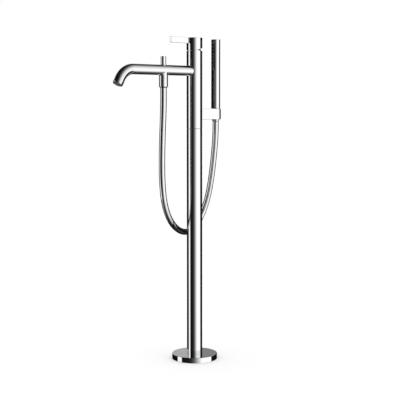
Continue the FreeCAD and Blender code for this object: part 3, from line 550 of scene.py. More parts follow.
# %% [markdown]
# ## Handle cap
#
# The cap is turned from bar and then cut obliquely underneath, so that it can tip back when the lever lifts.
# A boolean cut would leave uneven triangles, and chrome shows those. Instead each ring of the lathe outline
# is told whether it follows the oblique plane: the upper rings stay level and the lower rim slopes.

# %% Cap with its oblique rim
CAP_R, CAP_BORE_R, CAP_TOP_Z, CAP_CEILING_Z = 20.7, 18.9, 848.5, 834.5
CAP_FRONT_Z, CAP_SLOPE, BOSS_R, BOSS_Z = 815.0, 0.2, 6.0, 813.5


def cap_rings():
    """Rings of the cap from its top's middle, down outside, up inside, and down the boss."""
    outline = eased([(0, CAP_TOP_Z, 0), (CAP_R, CAP_TOP_Z, 0.45), (CAP_R, CAP_FRONT_Z, 0.2),
                     (CAP_BORE_R, CAP_FRONT_Z, 0.2), (CAP_BORE_R, CAP_CEILING_Z, 0), (BOSS_R, CAP_CEILING_Z, 0),
                     (BOSS_R, BOSS_Z, 0), (0, BOSS_Z, 0)], loop=False)
    rings = [ring_at(p.x, p.y, steps=128) for p in outline]
    for p, ring in zip(outline, rings):
        if p.x > BOSS_R and p.y < CAP_FRONT_Z + 1.0:
            for q in ring:
                q.z += CAP_SLOPE * (q.y + CAP_R)
    return rings


make_piece("lever_cap", skin(cap_rings()), "handle_cap", body="handle")

# %% [markdown]
# ## Lever bar
#
# The lever is a flat bar, flush with the cap's top, with its lower front corner rounded. It is a slab that
# could be a cube with a bevel, but the rounded corner and the fit to the cap's wall need their own outline:
# the same side outline is repeated in layers across the bar, and drawn in at both faces for the soft rims.

# %% Lever bar
LEVER_TIP_Y, LEVER_LOW_Z, LEVER_HALF, LEVER_CORNER, LEVER_RIM = -85.5, 833.5, 3.25, 2.0, 0.7
TOP_GUARD, LOW_GUARD, IN_CAP = 2.0, 3.5, 0.05


def bar_outline(x, drawn_in):
    """Side outline of the bar at one distance from its middle."""
    low, high, tip = LEVER_LOW_Z + drawn_in, CAP_TOP_Z - drawn_in, LEVER_TIP_Y + drawn_in
    root = -sqrt(CAP_R ** 2 - x ** 2) + IN_CAP
    points = [Vector((x, root, high)), Vector((x, tip + TOP_GUARD, high))]
    for z, rounding, first, inward in ((high, LEVER_RIM, 90, -1), (low, LEVER_CORNER, 180, 1)):
        size = max(rounding - drawn_in, 0.05)
        for step in range(7):
            turn = radians(first + 90 * step / 6)
            points.append(Vector((x, tip + size + size * cos(turn), z + inward * size + size * sin(turn))))
    return points + [Vector((x, tip + LOW_GUARD, low)), Vector((x, root, low))]


def bar_rings():
    """The bar's outlines from one side to the other."""
    side = [(LEVER_HALF - LEVER_RIM * c, LEVER_RIM * s) for s, c in quarter(5)] + [(LEVER_HALF - 2 * LEVER_RIM, 0.0)]
    return [bar_outline(x, inset) for x, inset in side + [(-x, inset) for x, inset in reversed(side)]]


make_piece("lever_blade", skin(bar_rings(), ends=True), "lever_bar", body="handle")

# %% [markdown]
# ## Access plug
#
# At the back of the cap a small chrome plug covers the screw that clamps the cap. It is a short turned disc
# lying on its side: the lathe makes it upright and its points are then laid over.

# %% Access plug
PLUG_R, PLUG_Z, PLUG_FACE_Y, PLUG_DEPTH, DIMPLE_DEPTH = 2.1, 827.5, 20.5, 2.0, 0.3
plug_points, plug_faces = turned([
    (0, -DIMPLE_DEPTH, 0), (0.8, -DIMPLE_DEPTH, 0.05), (0.9, 0.0, 0.05), (PLUG_R, 0.0, 0.2),
    (PLUG_R, -PLUG_DEPTH, 0), (0, -PLUG_DEPTH, 0)], loop=False, steps=40)
laid_back = [Vector((p.x, PLUG_FACE_Y + p.z, PLUG_Z - p.y)) for p in plug_points]
make_piece("rear_plug", (laid_back, plug_faces), "access_plug", body="handle")

# %% [markdown]
# ## Spout
#
# The spout is a drawn tube, bent once near its end, and its other end is fitted to the column with a hair of
# solder round. A curve with a bevel would end in a flat cut at the column. Here the first rings lie on the
# column's own surface and step out to the tube in a small concave round.

# %% The spout's line
SPOUT_Z, SPOUT_R, SPOUT_BORE_R = 762.8, 13.0, 10.5
BEND_Y, BEND_R, BEND_DEG, MOUTH_L = -212.0, 50.0, 61.0, 12.0
BEND_STEPS = 40


def bend_place(degrees):
    """Centre of the tube and its direction at one angle of the bend."""
    turn = radians(degrees)
    centre = Vector((0, BEND_Y - BEND_R * sin(turn), SPOUT_Z - BEND_R + BEND_R * cos(turn)))
    return centre, Vector((0, -cos(turn), -sin(turn)))


mouth_start, mouth_way = bend_place(BEND_DEG)
mouth = mouth_start + mouth_way * MOUTH_L
mouth_up = mouth_way.cross(ACROSS)
print("spout mouth at", [round(v, 1) for v in mouth])

# %% The spout's rings
SPOUT_WAY = Vector((0, -1, 0))
SOLDER, MOUTH_EASE = 0.5, 0.35
ROOT_SUNK, SKIN_SUNK = 0.6, 0.02
STRAIGHT_YS = (-24, -60, -100, -126, -170, BEND_Y + 1)


def spout_ring(centre, way, radius):
    """A ring square to the spout's direction."""
    up = way.cross(ACROSS)
    return [centre + (ACROSS * c + up * s) * radius for c, s in circle()]


def on_column(radius, gap):
    """A ring of the spout's root, each point moved along the spout to stand a gap off the column's surface."""
    ring = spout_ring(Vector((0, 0, SPOUT_Z)), SPOUT_WAY, radius)
    return [Vector((p.x, -sqrt(max(COLUMN_R ** 2 - p.x ** 2, 0.0)) - gap, p.z)) for p in ring]


def spout_rings():
    """Rings from the column along the outside, round the mouth's edge and back through the bore."""
    rings = [on_column(SPOUT_R + SOLDER, -ROOT_SUNK)]
    rings += [on_column(SPOUT_R + SOLDER * s, SOLDER * c - SKIN_SUNK) for s, c in quarter(5)]
    rings.append(on_column(SPOUT_R, SOLDER + 0.3))
    rings += [spout_ring(Vector((0, y, SPOUT_Z)), SPOUT_WAY, SPOUT_R) for y in STRAIGHT_YS]
    rings += [spout_ring(*bend_place(BEND_DEG * k / BEND_STEPS), SPOUT_R) for k in range(BEND_STEPS + 1)]
    rings.append(spout_ring(mouth_start + mouth_way, mouth_way, SPOUT_R))
    rings.append(spout_ring(mouth - mouth_way * (MOUTH_EASE * 1.5), mouth_way, SPOUT_R))
    rings += [spout_ring(mouth - mouth_way * (MOUTH_EASE * s), mouth_way, SPOUT_R - MOUTH_EASE * c)
              for s, c in quarter(4)]
    rings.append(spout_ring(mouth, mouth_way, SPOUT_BORE_R))
    rings += [spout_ring(*bend_place(BEND_DEG * k / BEND_STEPS), SPOUT_BORE_R) for k in range(BEND_STEPS, -1, -4)]
    return rings + [spout_ring(Vector((0, -20.0, SPOUT_Z)), SPOUT_WAY, SPOUT_BORE_R)]


make_piece("bent_spout", skin(spout_rings(), loop=True), "spout_tube")

# %% [markdown]
# ## Aerator
#
# In the spout's mouth a chrome ring holds a plastic insert with a honeycomb of small cells, which mixes air
# into the water. The ring is turned. The honeycomb repeats one six-sided cell, so Geometry Nodes place it:
# points on a staggered grid, those outside the ring deleted, a small hexagonal frame on each.

# %% Aerator ring and insert
AERATOR_R, AERATOR_LIP, AERATOR_BORE_R, AERATOR_DEPTH = 12.2, 2.0, 8.9, 9.0
INSERT_R, INSERT_WELL_R, INSERT_DEPTH, WELL_DEPTH, INSERT_RIM = 8.85, 8.05, 8.0, 1.6, 0.9


def at_mouth(p):
    """Moves a point drawn round the Z axis to the spout's mouth, with +Z along the water."""
    return mouth + ACROSS * p.x + mouth_up * p.y + mouth_way * p.z


def in_mouth(shape):
    """Moves a whole shape to the mouth."""
    points, faces = shape
    return [at_mouth(p) for p in points], faces


make_piece("aerator_ring", in_mouth(turned([
    (AERATOR_R, 0.0, 0), (AERATOR_R, AERATOR_LIP, 0.35), (AERATOR_BORE_R, AERATOR_LIP, 0.3),
    (AERATOR_BORE_R, -AERATOR_DEPTH, 0), (SPOUT_BORE_R, -AERATOR_DEPTH, 0), (SPOUT_BORE_R, 0.0, 0)])),
    "aerator_housing")


# %% A Geometry Nodes tree, written like a sheet
def new_tree(name, **inputs):
    """An empty geometry tree with named inputs and a finish, its sheet, and its inputs as levels."""
    inputs["Finish"] = "Material"
    tree = bpy.data.node_groups.new(name, "GeometryNodeTree")
    tree.interface.new_socket("Geometry", in_out="OUTPUT", socket_type="NodeSocketGeometry")
    for label, kind in inputs.items():
        tree.interface.new_socket(label, in_out="INPUT", socket_type="NodeSocket" + kind)
    sheet = Sheet(tree)
    given = sheet.node("NodeGroupInput")
    return sheet, {label: Level(sheet, given.outputs[label]) for label in inputs}


def close_tree(sheet, geometry, finish):
    """Ends a tree as the export needs it, in real faces that carry their finish."""
    real = sheet.add("GeometryNodeRealizeInstances", None, {"Geometry": geometry})
    done = sheet.add("GeometryNodeSetMaterial", None, {"Geometry": real, "Material": finish})
    sheet.node("NodeGroupOutput", None, {"Geometry": done})
    return sheet.tree


def grow(name, tree, values, move):
    """Runs a geometry tree and gives the result as one plain mesh object, with each point moved to its place."""
    seed = put(name + "_seed", bpy.data.meshes.new(name + "_seed"))
    modifier = seed.modifiers.new("grow", "NODES")
    modifier.node_group = tree
    for item in tree.interface.items_tree:
        if item.in_out == "INPUT":
            modifier[item.identifier] = values[item.name]
    bpy.context.view_layer.update()
    mesh = bpy.data.meshes.new_from_object(seed.evaluated_get(bpy.context.evaluated_depsgraph_get()))
    bpy.data.objects.remove(seed)
    for corner in mesh.vertices:
        corner.co = move(corner.co) * MM
    mesh.name = name
    mesh.materials.clear()
    mesh.materials.append(values["Finish"])
    print(name, "faces:", len(mesh.polygons))
    return put(name, mesh)


# %% Honeycomb
def honeycomb_tree():
    """Staggered rows of six-sided cells inside a round."""
    sheet, given = new_tree("honeycomb", Cell="Float", Wall="Float", Depth="Float", Radius="Float")
    count = 21
    cells = sheet.add("GeometryNodeMeshGrid", None, {
        "Size X": given["Cell"] * (count - 1.0), "Size Y": given["Cell"] * ((count - 1.0) * sqrt(0.75)),
        "Vertices X": count, "Vertices Y": count})
    odd = sheet.add("GeometryNodeInputIndex").maths("MODULO", float(count)).maths("MODULO", 2.0)
    x, y = sheet.split(sheet.add("GeometryNodeInputPosition"))
    placed = sheet.add("ShaderNodeCombineXYZ", None, {"X": x + given["Cell"] * 0.5 * odd, "Y": y})
    points = sheet.add("GeometryNodeSetPosition", None, {"Geometry": cells, "Position": placed})
    reach = sheet.add("ShaderNodeVectorMath", {"operation": "LENGTH"},
                      {0: sheet.add("GeometryNodeInputPosition")}, output="Value")
    inside = sheet.add("GeometryNodeDeleteGeometry", None, {
        "Geometry": points, "Selection": reach.maths("GREATER_THAN", given["Radius"])})
    hexagon = sheet.add("GeometryNodeCurvePrimitiveCircle", {"mode": "RADIUS"},
                        {"Resolution": 6, "Radius": given["Cell"] * 0.56})
    section = sheet.add("GeometryNodeCurvePrimitiveQuadrilateral", {"mode": "RECTANGLE"},
                        {"Width": given["Wall"], "Height": given["Depth"]})
    cell = sheet.add("GeometryNodeCurveToMesh", None, {"Curve": hexagon, "Profile Curve": section})
    spread = sheet.add("GeometryNodeInstanceOnPoints", None, {"Points": inside, "Instance": cell})
    return close_tree(sheet, spread, given["Finish"])


HONEYCOMB_SUNK = Vector((0, 0, -0.6))
honeycomb = grow("aerator_honeycomb", honeycomb_tree(), {
    "Cell": 1.30, "Wall": 0.30, "Depth": 2.0, "Radius": 7.7, "Finish": FINISHES["grey_plastic"]},
    lambda p: at_mouth(p + HONEYCOMB_SUNK))
seat(honeycomb)
make_piece("aerator_core", in_mouth(turned([
    (INSERT_R, -INSERT_DEPTH, 0), (INSERT_R, INSERT_RIM, 0.2), (INSERT_WELL_R, INSERT_RIM, 0.2),
    (INSERT_WELL_R, -WELL_DEPTH, 0), (0, -WELL_DEPTH, 0), (0, -INSERT_DEPTH, 0)], loop=False)),
    "aerator_insert", "grey_plastic")

# %% [markdown]
# ## Diverter pin
#
# The small chrome pin on the spout is pulled up to send water to the hand shower. It stands on a low collar.
# The collar's foot lies on the round spout, so its lowest rings take their heights from the spout's surface.

# %% Pin and collar
DIVERTER_Y = -110.3
PIN_R, PIN_LOW_Z, PIN_TOP_Z = 7.0, 776.1, 797.2
COLLAR_R, COLLAR_SHOULDER_Z, COLLAR_TOP_Z, COLLAR_LOW_Z, STEM_R = 7.3, 775.3, 775.7, 770.0, 2.56


def diverter_rings(outline):
    """Level rings of an eased outline, round the diverter's axis."""
    return [ring_at(p.x, p.y, DIVERTER_Y) for p in eased(outline, loop=False)]


def collar_foot(sunk):
    """The collar's ring on the spout's upper surface, or a little way into it."""
    ring = ring_at(COLLAR_R, 0, DIVERTER_Y)
    return [Vector((p.x, p.y, SPOUT_Z + sqrt(SPOUT_R ** 2 - p.x ** 2) - sunk)) for p in ring]


make_piece("pull_pin", turned([
    (0, PIN_LOW_Z, 0), (PIN_R, PIN_LOW_Z, 0.35), (PIN_R, PIN_TOP_Z, 0.6), (0, PIN_TOP_Z, 0)],
    y=DIVERTER_Y, loop=False), "diverter_knob", body="diverter_pin")
make_piece("pin_collar", skin([collar_foot(1.4), collar_foot(0.4)] + diverter_rings([
    (COLLAR_R, COLLAR_SHOULDER_Z, 0), (COLLAR_R, COLLAR_TOP_Z, 0.2), (STEM_R, COLLAR_TOP_Z, 0.1),
    (STEM_R, COLLAR_LOW_Z, 0), (COLLAR_R, COLLAR_LOW_Z, 0)]), loop=True), "diverter_bonnet")

# %% [markdown]
# ## Hose outlet and its nut
#
# Under the spout, on the pin's own axis, a short chrome stub carries the hose nut. The stub flares into the spout
# in a concave round, wide along the spout and small at its sides, where the tube falls away. The nut is round
# and smooth, with a long bevel down to the hose.

# %% Outlet stub
OUTLET_R, OUTLET_SHOULDER_Z, OUTLET_SEAM_Z = 11.5, 745.2, 742.1
NECK_R, NECK_LOW_Z, WATERWAY_R, WATERWAY_TOP_Z = 10.2, 730.5, 7.2, 751.5
SADDLE_ALONG, SADDLE_ACROSS, SADDLE_GUARD, SADDLE_STEPS = 2.6, 1.0, 0.2, 7


def saddle_ring(out, down, sunk):
    """A ring of the concave round under the spout. The round is widest along the spout and small at its sides."""
    ring = []
    for c, s in circle():
        size = SADDLE_ALONG + (SADDLE_ACROSS - SADDLE_ALONG) * c ** 2
        radius = OUTLET_R + size * out
        under = SPOUT_Z - sqrt(max(SPOUT_R ** 2 - (radius * c) ** 2, 0.0))
        ring.append(Vector((radius * c, DIVERTER_Y + radius * s, under - size * down + sunk)))
    return ring


saddle = [saddle_ring(1, 0, ROOT_SUNK)] + [saddle_ring(s, c, SKIN_SUNK) for s, c in quarter(SADDLE_STEPS)]
make_piece("outlet_stub", skin(saddle + [saddle_ring(0, 1, -SADDLE_GUARD)] + diverter_rings([
    (OUTLET_R, OUTLET_SHOULDER_Z, 0), (OUTLET_R, OUTLET_SEAM_Z, 0.3), (NECK_R, OUTLET_SEAM_Z, 0),
    (NECK_R, NECK_LOW_Z, 0.3), (WATERWAY_R, NECK_LOW_Z, 0), (WATERWAY_R, WATERWAY_TOP_Z, 0)]), loop=True),
    "hose_outlet")

# %% Hose nut
NUT_LOW_Z, NUT_TOP_Z, NUT_BEVEL = 718.0, 741.8, 2.75
NUT_THREAD_R, NUT_SEAT_Z, NUT_BORE_R = 10.3, 727.5, 8.4
make_piece("outlet_nut", turned([
    (OUTLET_R - NUT_BEVEL, NUT_LOW_Z, 0.25), (OUTLET_R, NUT_LOW_Z + NUT_BEVEL, 0.4), (OUTLET_R, NUT_TOP_Z, 0.3),
    (NUT_THREAD_R, NUT_TOP_Z, 0), (NUT_THREAD_R, NUT_SEAT_Z, 0), (NUT_BORE_R, NUT_SEAT_Z, 0),
    (NUT_BORE_R, NUT_LOW_Z, 0)], y=DIVERTER_Y), "hose_top_nut")

# %% [markdown]
# ## Diverter spring
#
# A coil spring pushes the pin down again. The CAD holds only its room, so here it becomes a wound wire:
# Geometry Nodes sweep a small circle along a spiral. On the real tap it is pressed together between the plunger
# and the bush when the pin is pulled; here the coil keeps one length.

# %% Spring
def spring_tree():
    """A wire swept along a spiral."""
    sheet, given = new_tree("wound_spring", Turns="Float", Radius="Float", Height="Float", Wire="Float")
    spiral = sheet.add("GeometryNodeCurveSpiral", None, {
        "Resolution": 28, "Rotations": given["Turns"], "Start Radius": given["Radius"],
        "End Radius": given["Radius"], "Height": given["Height"]})
    section = sheet.add("GeometryNodeCurvePrimitiveCircle", {"mode": "RADIUS"},
                        {"Resolution": 10, "Radius": given["Wire"]})
    wire = sheet.add("GeometryNodeCurveToMesh", None, {"Curve": spiral, "Profile Curve": section, "Fill Caps": True})
    return close_tree(sheet, wire, given["Finish"])


SPRING_FOOT = Vector((0, DIVERTER_Y, 760.0))
spring = grow("diverter_coil", spring_tree(), {
    "Turns": 5.0, "Radius": 4.8, "Height": 9.4, "Wire": 0.5, "Finish": FINISHES["steel"]},
    lambda p: p + SPRING_FOOT)
spring.data.shade_smooth()
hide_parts("diverter_spring")
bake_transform(spring)

# %% [markdown]
# ## Holder
#
# The holder is a solid bar that grows out of the column and ends in a half round, bored for the liner. In plan
# it is half a stadium. Its rings follow that plan, so the bar and its end are one surface, and the top and
# bottom edges are drawn in by their own rounds.

# %% The holder's rings
HOLDER_Y, HOLDER_R, HOLDER_LOW_Z, HOLDER_TOP_Z, LINER_R = 79.7, 13.85, 636.5, 664.6, 12.3
ROOT_R, LOW_EASE, TOP_EASE = COLUMN_R - ROOT_SUNK, 1.2, 0.5
ARM_STEPS, END_STEPS, BACK_STEPS = 10, 64, 12


def arm_ring(drawn_in, z):
    """A level ring of the holder: out from inside the column's wall, round the end, back and across."""
    size = HOLDER_R - drawn_in
    root = sqrt(ROOT_R ** 2 - size ** 2)
    run = [root + (HOLDER_Y - root) * k / ARM_STEPS for k in range(ARM_STEPS)]
    across = [size - 2 * size * k / BACK_STEPS for k in range(1, BACK_STEPS)]
    plan = [(size, y) for y in run]
    plan += [(size * c, HOLDER_Y + size * s) for c, s in circle(2 * END_STEPS)[:END_STEPS + 1]]
    plan += [(-size, y) for y in reversed(run)] + [(-x, sqrt(ROOT_R ** 2 - x ** 2)) for x in across]
    return [Vector((x, y, z)) for x, y in plan]


def arm_rings():
    """The holder's rings from the bottom to the top."""
    levels = [(LOW_EASE * s, HOLDER_LOW_Z + LOW_EASE * c) for s, c in quarter(5)]
    levels += [(0.0, HOLDER_LOW_Z + 2 * LOW_EASE), (0.0, HOLDER_TOP_Z - 2 * TOP_EASE)]
    levels += [(TOP_EASE * c, HOLDER_TOP_Z - TOP_EASE * s) for s, c in quarter(5)]
    return [arm_ring(drawn_in, z) for drawn_in, z in levels]


# %% Holder mesh
def neighbours(ring):
    """Each item of a closed ring with the next one."""
    return list(zip(ring, ring[1:] + ring[:1]))


def outward(form):
    """Points and faces of a form, once its faces are turned outward."""
    bmesh.ops.recalc_face_normals(form, faces=form.faces)
    form.verts.index_update()
    print("faces:", len(form.faces), "open edges:", sum(len(e.link_faces) != 2 for e in form.edges))
    points = [v.co.copy() for v in form.verts]
    faces = [[v.index for v in f.verts] for f in form.faces]
    form.free()
    return points, faces


def holder_mesh():
    """Outside skin, bore, and the flat top and bottom between them, filled by bmesh."""
    form = bmesh.new()
    rings = [[form.verts.new(p) for p in ring] for ring in arm_rings()]
    bores = [[form.verts.new(p) for p in ring_at(LINER_R, z, HOLDER_Y)] for z in (HOLDER_LOW_Z, HOLDER_TOP_Z)]
    for lower, upper in list(zip(rings, rings[1:])) + [bores]:
        for (a, b), (c, d) in zip(neighbours(lower), neighbours(upper)):
            form.faces.new((a, b, d, c))
    for rim, bore in ((rings[0], bores[0]), (rings[-1], bores[1])):
        edges = [form.edges.get(pair) for pair in neighbours(rim) + neighbours(bore)]
        bmesh.ops.triangle_fill(form, use_beauty=True, edges=edges)
    return outward(form)


make_piece("holder_arm", holder_mesh(), "hand_shower_holder")

# %% [markdown]
# ## Liner and conical nut
#
# A plastic liner in the holder's bore has a conical seat, and the chrome nut at the hose's end is a cone that
# drops into it. Both are turned parts with a thin clearance between them.

# %% Liner and nut
CONE_LOW_Z, CONE_BELLY_Z, CONE_STEP_Z, CLEAR = 632.5, 636.5, 641.5, 0.3
CONE_FOOT_R, CONE_BELLY_R, CONE_TOP_R, CONE_THREAD_R, CONE_BORE_R = 9.4, 10.3, 11.0, 9.36, 8.35
make_piece("cone_seat", turned([
    (LINER_R - 0.02, HOLDER_LOW_Z, 0.2), (LINER_R - 0.02, HOLDER_TOP_Z, 0.2),
    (CONE_TOP_R + CLEAR, HOLDER_TOP_Z, 0.25), (CONE_BELLY_R + CLEAR, HOLDER_LOW_Z, 0.2)], y=HOLDER_Y),
    "holder_liner", "grey_plastic")
make_piece("hose_cone", turned([
    (CONE_FOOT_R, CONE_LOW_Z, 0.4), (CONE_BELLY_R, CONE_BELLY_Z, 1.0), (CONE_TOP_R, HOLDER_TOP_Z, 0.4),
    (CONE_THREAD_R, HOLDER_TOP_Z, 0.2), (CONE_THREAD_R, CONE_STEP_Z, 0), (CONE_BORE_R, CONE_STEP_Z, 0),
    (CONE_BORE_R, CONE_LOW_Z, 0.2)], y=HOLDER_Y), "hose_cone_nut", body="hose_end")

# %% [markdown]
# ## Hand shower
#
# The hand shower is a plain stick. On the side that faces the spout a slot with round ends holds the spray strip.
# The stick's wall could be cut with a boolean, but then the mirror finish would break up round the slot.
# Instead the wall is a grid wrapped round the stick, its columns and rows are set on the edge of a window round
# the slot, and the window's cells lead from there to the slot.

# %% The slot's outline on the stick
STICK_R, STICK_BORE_R, STICK_LOW_Z, STICK_TOP_Z = 12.0, 10.6, 665.1, 847.4
SLOT_LOW_Z, SLOT_TOP_Z, SLOT_HALF = 767.8, 840.7, 5.0
SLOT_FIRST_Z, SLOT_LAST_Z = SLOT_LOW_Z + SLOT_HALF, SLOT_TOP_Z - SLOT_HALF
SIDE_STEPS, SLOT_END_STEPS = 12, 16
WINDOW_HALF, WINDOW_GAP = 7.2, 3.0


def slot_outline():
    """(across, height) points round the slot, counted from its lower right shoulder upward."""
    run = [(SLOT_LAST_Z - SLOT_FIRST_Z) * k / SIDE_STEPS for k in range(SIDE_STEPS)]
    ends = [(SLOT_HALF * c, SLOT_HALF * s) for c, s in circle(2 * SLOT_END_STEPS)]
    points = [(SLOT_HALF, SLOT_FIRST_Z + rise) for rise in run]
    points += [(x, SLOT_LAST_Z + z) for x, z in ends[:SLOT_END_STEPS]]
    points += [(-SLOT_HALF, SLOT_LAST_Z - rise) for rise in run]
    points += [(x, SLOT_FIRST_Z + z) for x, z in ends[SLOT_END_STEPS:]]
    return [Vector(p) for p in points]


def slot_middle(p):
    """The place on the slot's middle line that is nearest to a point."""
    return Vector((0, min(max(p.y, SLOT_FIRST_Z), SLOT_LAST_Z)))


def window_outline(inner):
    """The rectangle round the slot, with one point for each point of the slot's outline."""
    points = []
    for p in inner:
        if SLOT_FIRST_Z - 0.01 <= p.y <= SLOT_LAST_Z + 0.01:
            points.append(Vector((copysign(WINDOW_HALF, p.x), p.y)))
            continue
        way = (p - slot_middle(p)).normalized()
        reach_x = WINDOW_HALF / max(abs(way.x), 1e-6)
        reach_z = (WINDOW_GAP + SLOT_HALF) / max(abs(way.y), 1e-6)
        points.append(slot_middle(p) + way * min(reach_x, reach_z))
    return points


def wrapped(across, z, radius):
    """A point on the stick: across is the arc length from the line that faces the spout."""
    turn = across / STICK_R
    return Vector((radius * sin(turn), HOLDER_Y - radius * cos(turn), z))


# %% Stick mesh
BACK_COLUMNS, STICK_EASE, LOW_ROWS = 37, 0.4, (700.0, 740.0)


def stick_mesh():
    """The stick's wall: full rings below and above the window, a panel round the back, and the framed slot."""
    form = bmesh.new()
    seen = {}

    def vert(across, z, radius):
        key = (round(across, 3), round(z, 3), round(radius, 3))
        if key not in seen:
            seen[key] = form.verts.new(wrapped(across, z, radius))
        return seen[key]

    def grid(radius, columns_used, rows):
        for a, b in zip(columns_used, columns_used[1:]):
            for low, high in zip(rows, rows[1:]):
                form.faces.new([vert(x, z, radius) for x, z in ((a, low), (b, low), (b, high), (a, high))])

    inner = slot_outline()
    window = window_outline(inner)
    heights = sorted({round(p.y, 4) for p in window if abs(abs(p.x) - WINDOW_HALF) < 1e-4})
    front = sorted({round(p.x, 4) for p in window if abs(p.y - SLOT_LOW_Z + WINDOW_GAP) < 1e-4})
    side = [WINDOW_HALF + (pi * STICK_R - WINDOW_HALF) * k / (BACK_COLUMNS - 1) for k in range(BACK_COLUMNS)]
    columns = [-a for a in reversed(side)] + front[1:-1] + side
    frame_cells = neighbours(list(zip(inner, window)))
    for radius, ease in ((STICK_R, STICK_EASE), (STICK_BORE_R, 0.0)):
        grid(radius, columns, sorted({STICK_LOW_Z + ease, STICK_LOW_Z + 2 * ease, *LOW_ROWS, heights[0]}))
        grid(radius, columns, sorted({heights[-1], STICK_TOP_Z - 2 * ease, STICK_TOP_Z - ease}))
        grid(radius, columns[:BACK_COLUMNS], heights)
        grid(radius, columns[-BACK_COLUMNS:], heights)
        for (p, q), (next_p, next_q) in frame_cells:
            form.faces.new([vert(*corner, radius) for corner in (q, next_q, next_p, p)])
    for (p, q), (next_p, next_q) in frame_cells:
        form.faces.new((vert(*p, STICK_R), vert(*next_p, STICK_R), vert(*next_p, STICK_BORE_R),
                        vert(*p, STICK_BORE_R)))
    for edge_z, sign in ((STICK_LOW_Z, 1), (STICK_TOP_Z, -1)):
        levels = [(STICK_R - STICK_EASE * c, edge_z + sign * STICK_EASE * s) for s, c in quarter(4)]
        levels.append((STICK_BORE_R, edge_z))
        for (r0, z0), (r1, z1) in zip(levels, levels[1:]):
            for a, b in zip(columns, columns[1:]):
                form.faces.new((vert(a, z0, r0), vert(b, z0, r0), vert(b, z1, r1), vert(a, z1, r1)))
    bmesh.ops.remove_doubles(form, verts=form.verts, dist=0.002)
    return outward(form)


make_piece("shower_stick", stick_mesh(), "hand_shower_tube", body="hand_shower")

# %% [markdown]
# ## Spray strip and nozzles
#
# The strip is plated like the stick and lies a hair below its surface. A row of soft dark nozzles stands proud of
# it, so that lime can be rubbed off. Geometry Nodes place the nozzles: one turned nozzle on a line of points,
# turned to face straight out of the round stick.

# %% Strip
STRIP_R = 11.78
STRIP_RINGS = ((0.06, STICK_BORE_R), (0.06, 11.35), (0.16, 11.62), (0.42, 11.75), (0.9, STRIP_R), (2.0, STRIP_R),
               (3.1, STRIP_R), (4.1, STRIP_R), (4.8, STRIP_R))


def strip_mesh():
    """A curved pad that fills the slot, slightly sunk, with rounded shoulders, and closed behind and in front."""
    inner = slot_outline()
    rings = []
    for shrink, radius in STRIP_RINGS:
        ring = [slot_middle(p) + (p - slot_middle(p)) * (1 - shrink / SLOT_HALF) for p in inner]
        rings.append([wrapped(p.x, p.y, radius) for p in ring])
    points, faces = skin(rings)
    far_side = 2 * SIDE_STEPS + SLOT_END_STEPS
    cap = [[a, a + 1, far_side - a - 1, far_side - a] for a in range(SIDE_STEPS)]
    cap += [list(range(SIDE_STEPS, SIDE_STEPS + SLOT_END_STEPS + 1)), list(range(far_side, len(inner))) + [0]]
    faces += [face[::-1] for face in cap]
    faces += [[k + len(points) - len(inner) for k in face] for face in cap]
    return points, faces


make_piece("spray_pad", strip_mesh(), "spray_strip", body="hand_shower")


# %% Nozzle tree
def nozzle_tree():
    """Copies of one nozzle on an upright line of points."""
    sheet, given = new_tree("nozzle_rows", Nozzle="Object", Count="Int", Pitch="Float", Radius="Float", Low="Float")
    pattern = sheet.add("GeometryNodeObjectInfo", None, {"Object": given["Nozzle"]}, output="Geometry")
    start = sheet.add("ShaderNodeCombineXYZ", None, {"Y": -1.0 * given["Radius"], "Z": given["Low"]})
    step = sheet.add("ShaderNodeCombineXYZ", None, {"Z": given["Pitch"]})
    line = sheet.add("GeometryNodeMeshLine", {"mode": "OFFSET"},
                     {"Count": given["Count"], "Start Location": start, "Offset": step})
    row = sheet.add("GeometryNodeInstanceOnPoints", None,
                    {"Points": line, "Instance": pattern, "Rotation": (pi / 2, 0.0, 0.0)})
    return close_tree(sheet, row, given["Finish"])


# %% Nozzles
NOZZLE_FOOT_R, NOZZLE_TIP_R, NOZZLE_H, NOZZLE_EYE_R, NOZZLE_EYE_Z, NOZZLE_SUNK = 1.75, 1.45, 0.7, 0.55, 0.1, 0.5
nozzle_points, nozzle_faces = turned([
    (0, -NOZZLE_SUNK, 0), (NOZZLE_FOOT_R, -NOZZLE_SUNK, 0), (NOZZLE_TIP_R, NOZZLE_H, 0.25),
    (NOZZLE_EYE_R, NOZZLE_H, 0.1), (0.5, NOZZLE_EYE_Z, 0), (0, NOZZLE_EYE_Z, 0)], loop=False, steps=16)
nozzle_shape = bpy.data.meshes.new("nozzle_pattern")
nozzle_shape.from_pydata(nozzle_points, [], nozzle_faces)
nozzle_shape.shade_smooth()
one_nozzle = put("nozzle_pattern", nozzle_shape)
STICK_FOOT = Vector((0, HOLDER_Y, 0))
nozzles = grow("spray_nozzles", nozzle_tree(), {
    "Nozzle": one_nozzle, "Count": 8, "Pitch": 9.3, "Radius": STRIP_R, "Low": SLOT_LOW_Z + 4.5,
    "Finish": nozzle_silicone}, lambda p: p + STICK_FOOT)
bpy.data.objects.remove(one_nozzle)
seat(nozzles, body="hand_shower")

# %% Top disc of the stick
DISC_R, DISC_LOW_Z = STICK_BORE_R - 0.05, 844.4
make_piece("stick_end", turned([
    (0, STICK_TOP_Z, 0), (DISC_R, STICK_TOP_Z, 0.25), (DISC_R, DISC_LOW_Z, 0), (0, DISC_LOW_Z, 0)],
    y=HOLDER_Y, loop=False), "top_cap", body="hand_shower")

# %% [markdown]
# ## The hidden works
#
# The mixer, its cartridge, the pipes and the seals stay as the CAD made them. Each gets the finish of what it is
# made of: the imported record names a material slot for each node.

# %% Finishes of the CAD nodes that stay
for node in frame["nodes"].values():
    for slot in node.material_slots:
        slot.material = FINISHES[slot.material.name.split(".")[0]]
print("dressed", len(frame["nodes"]), "CAD nodes")

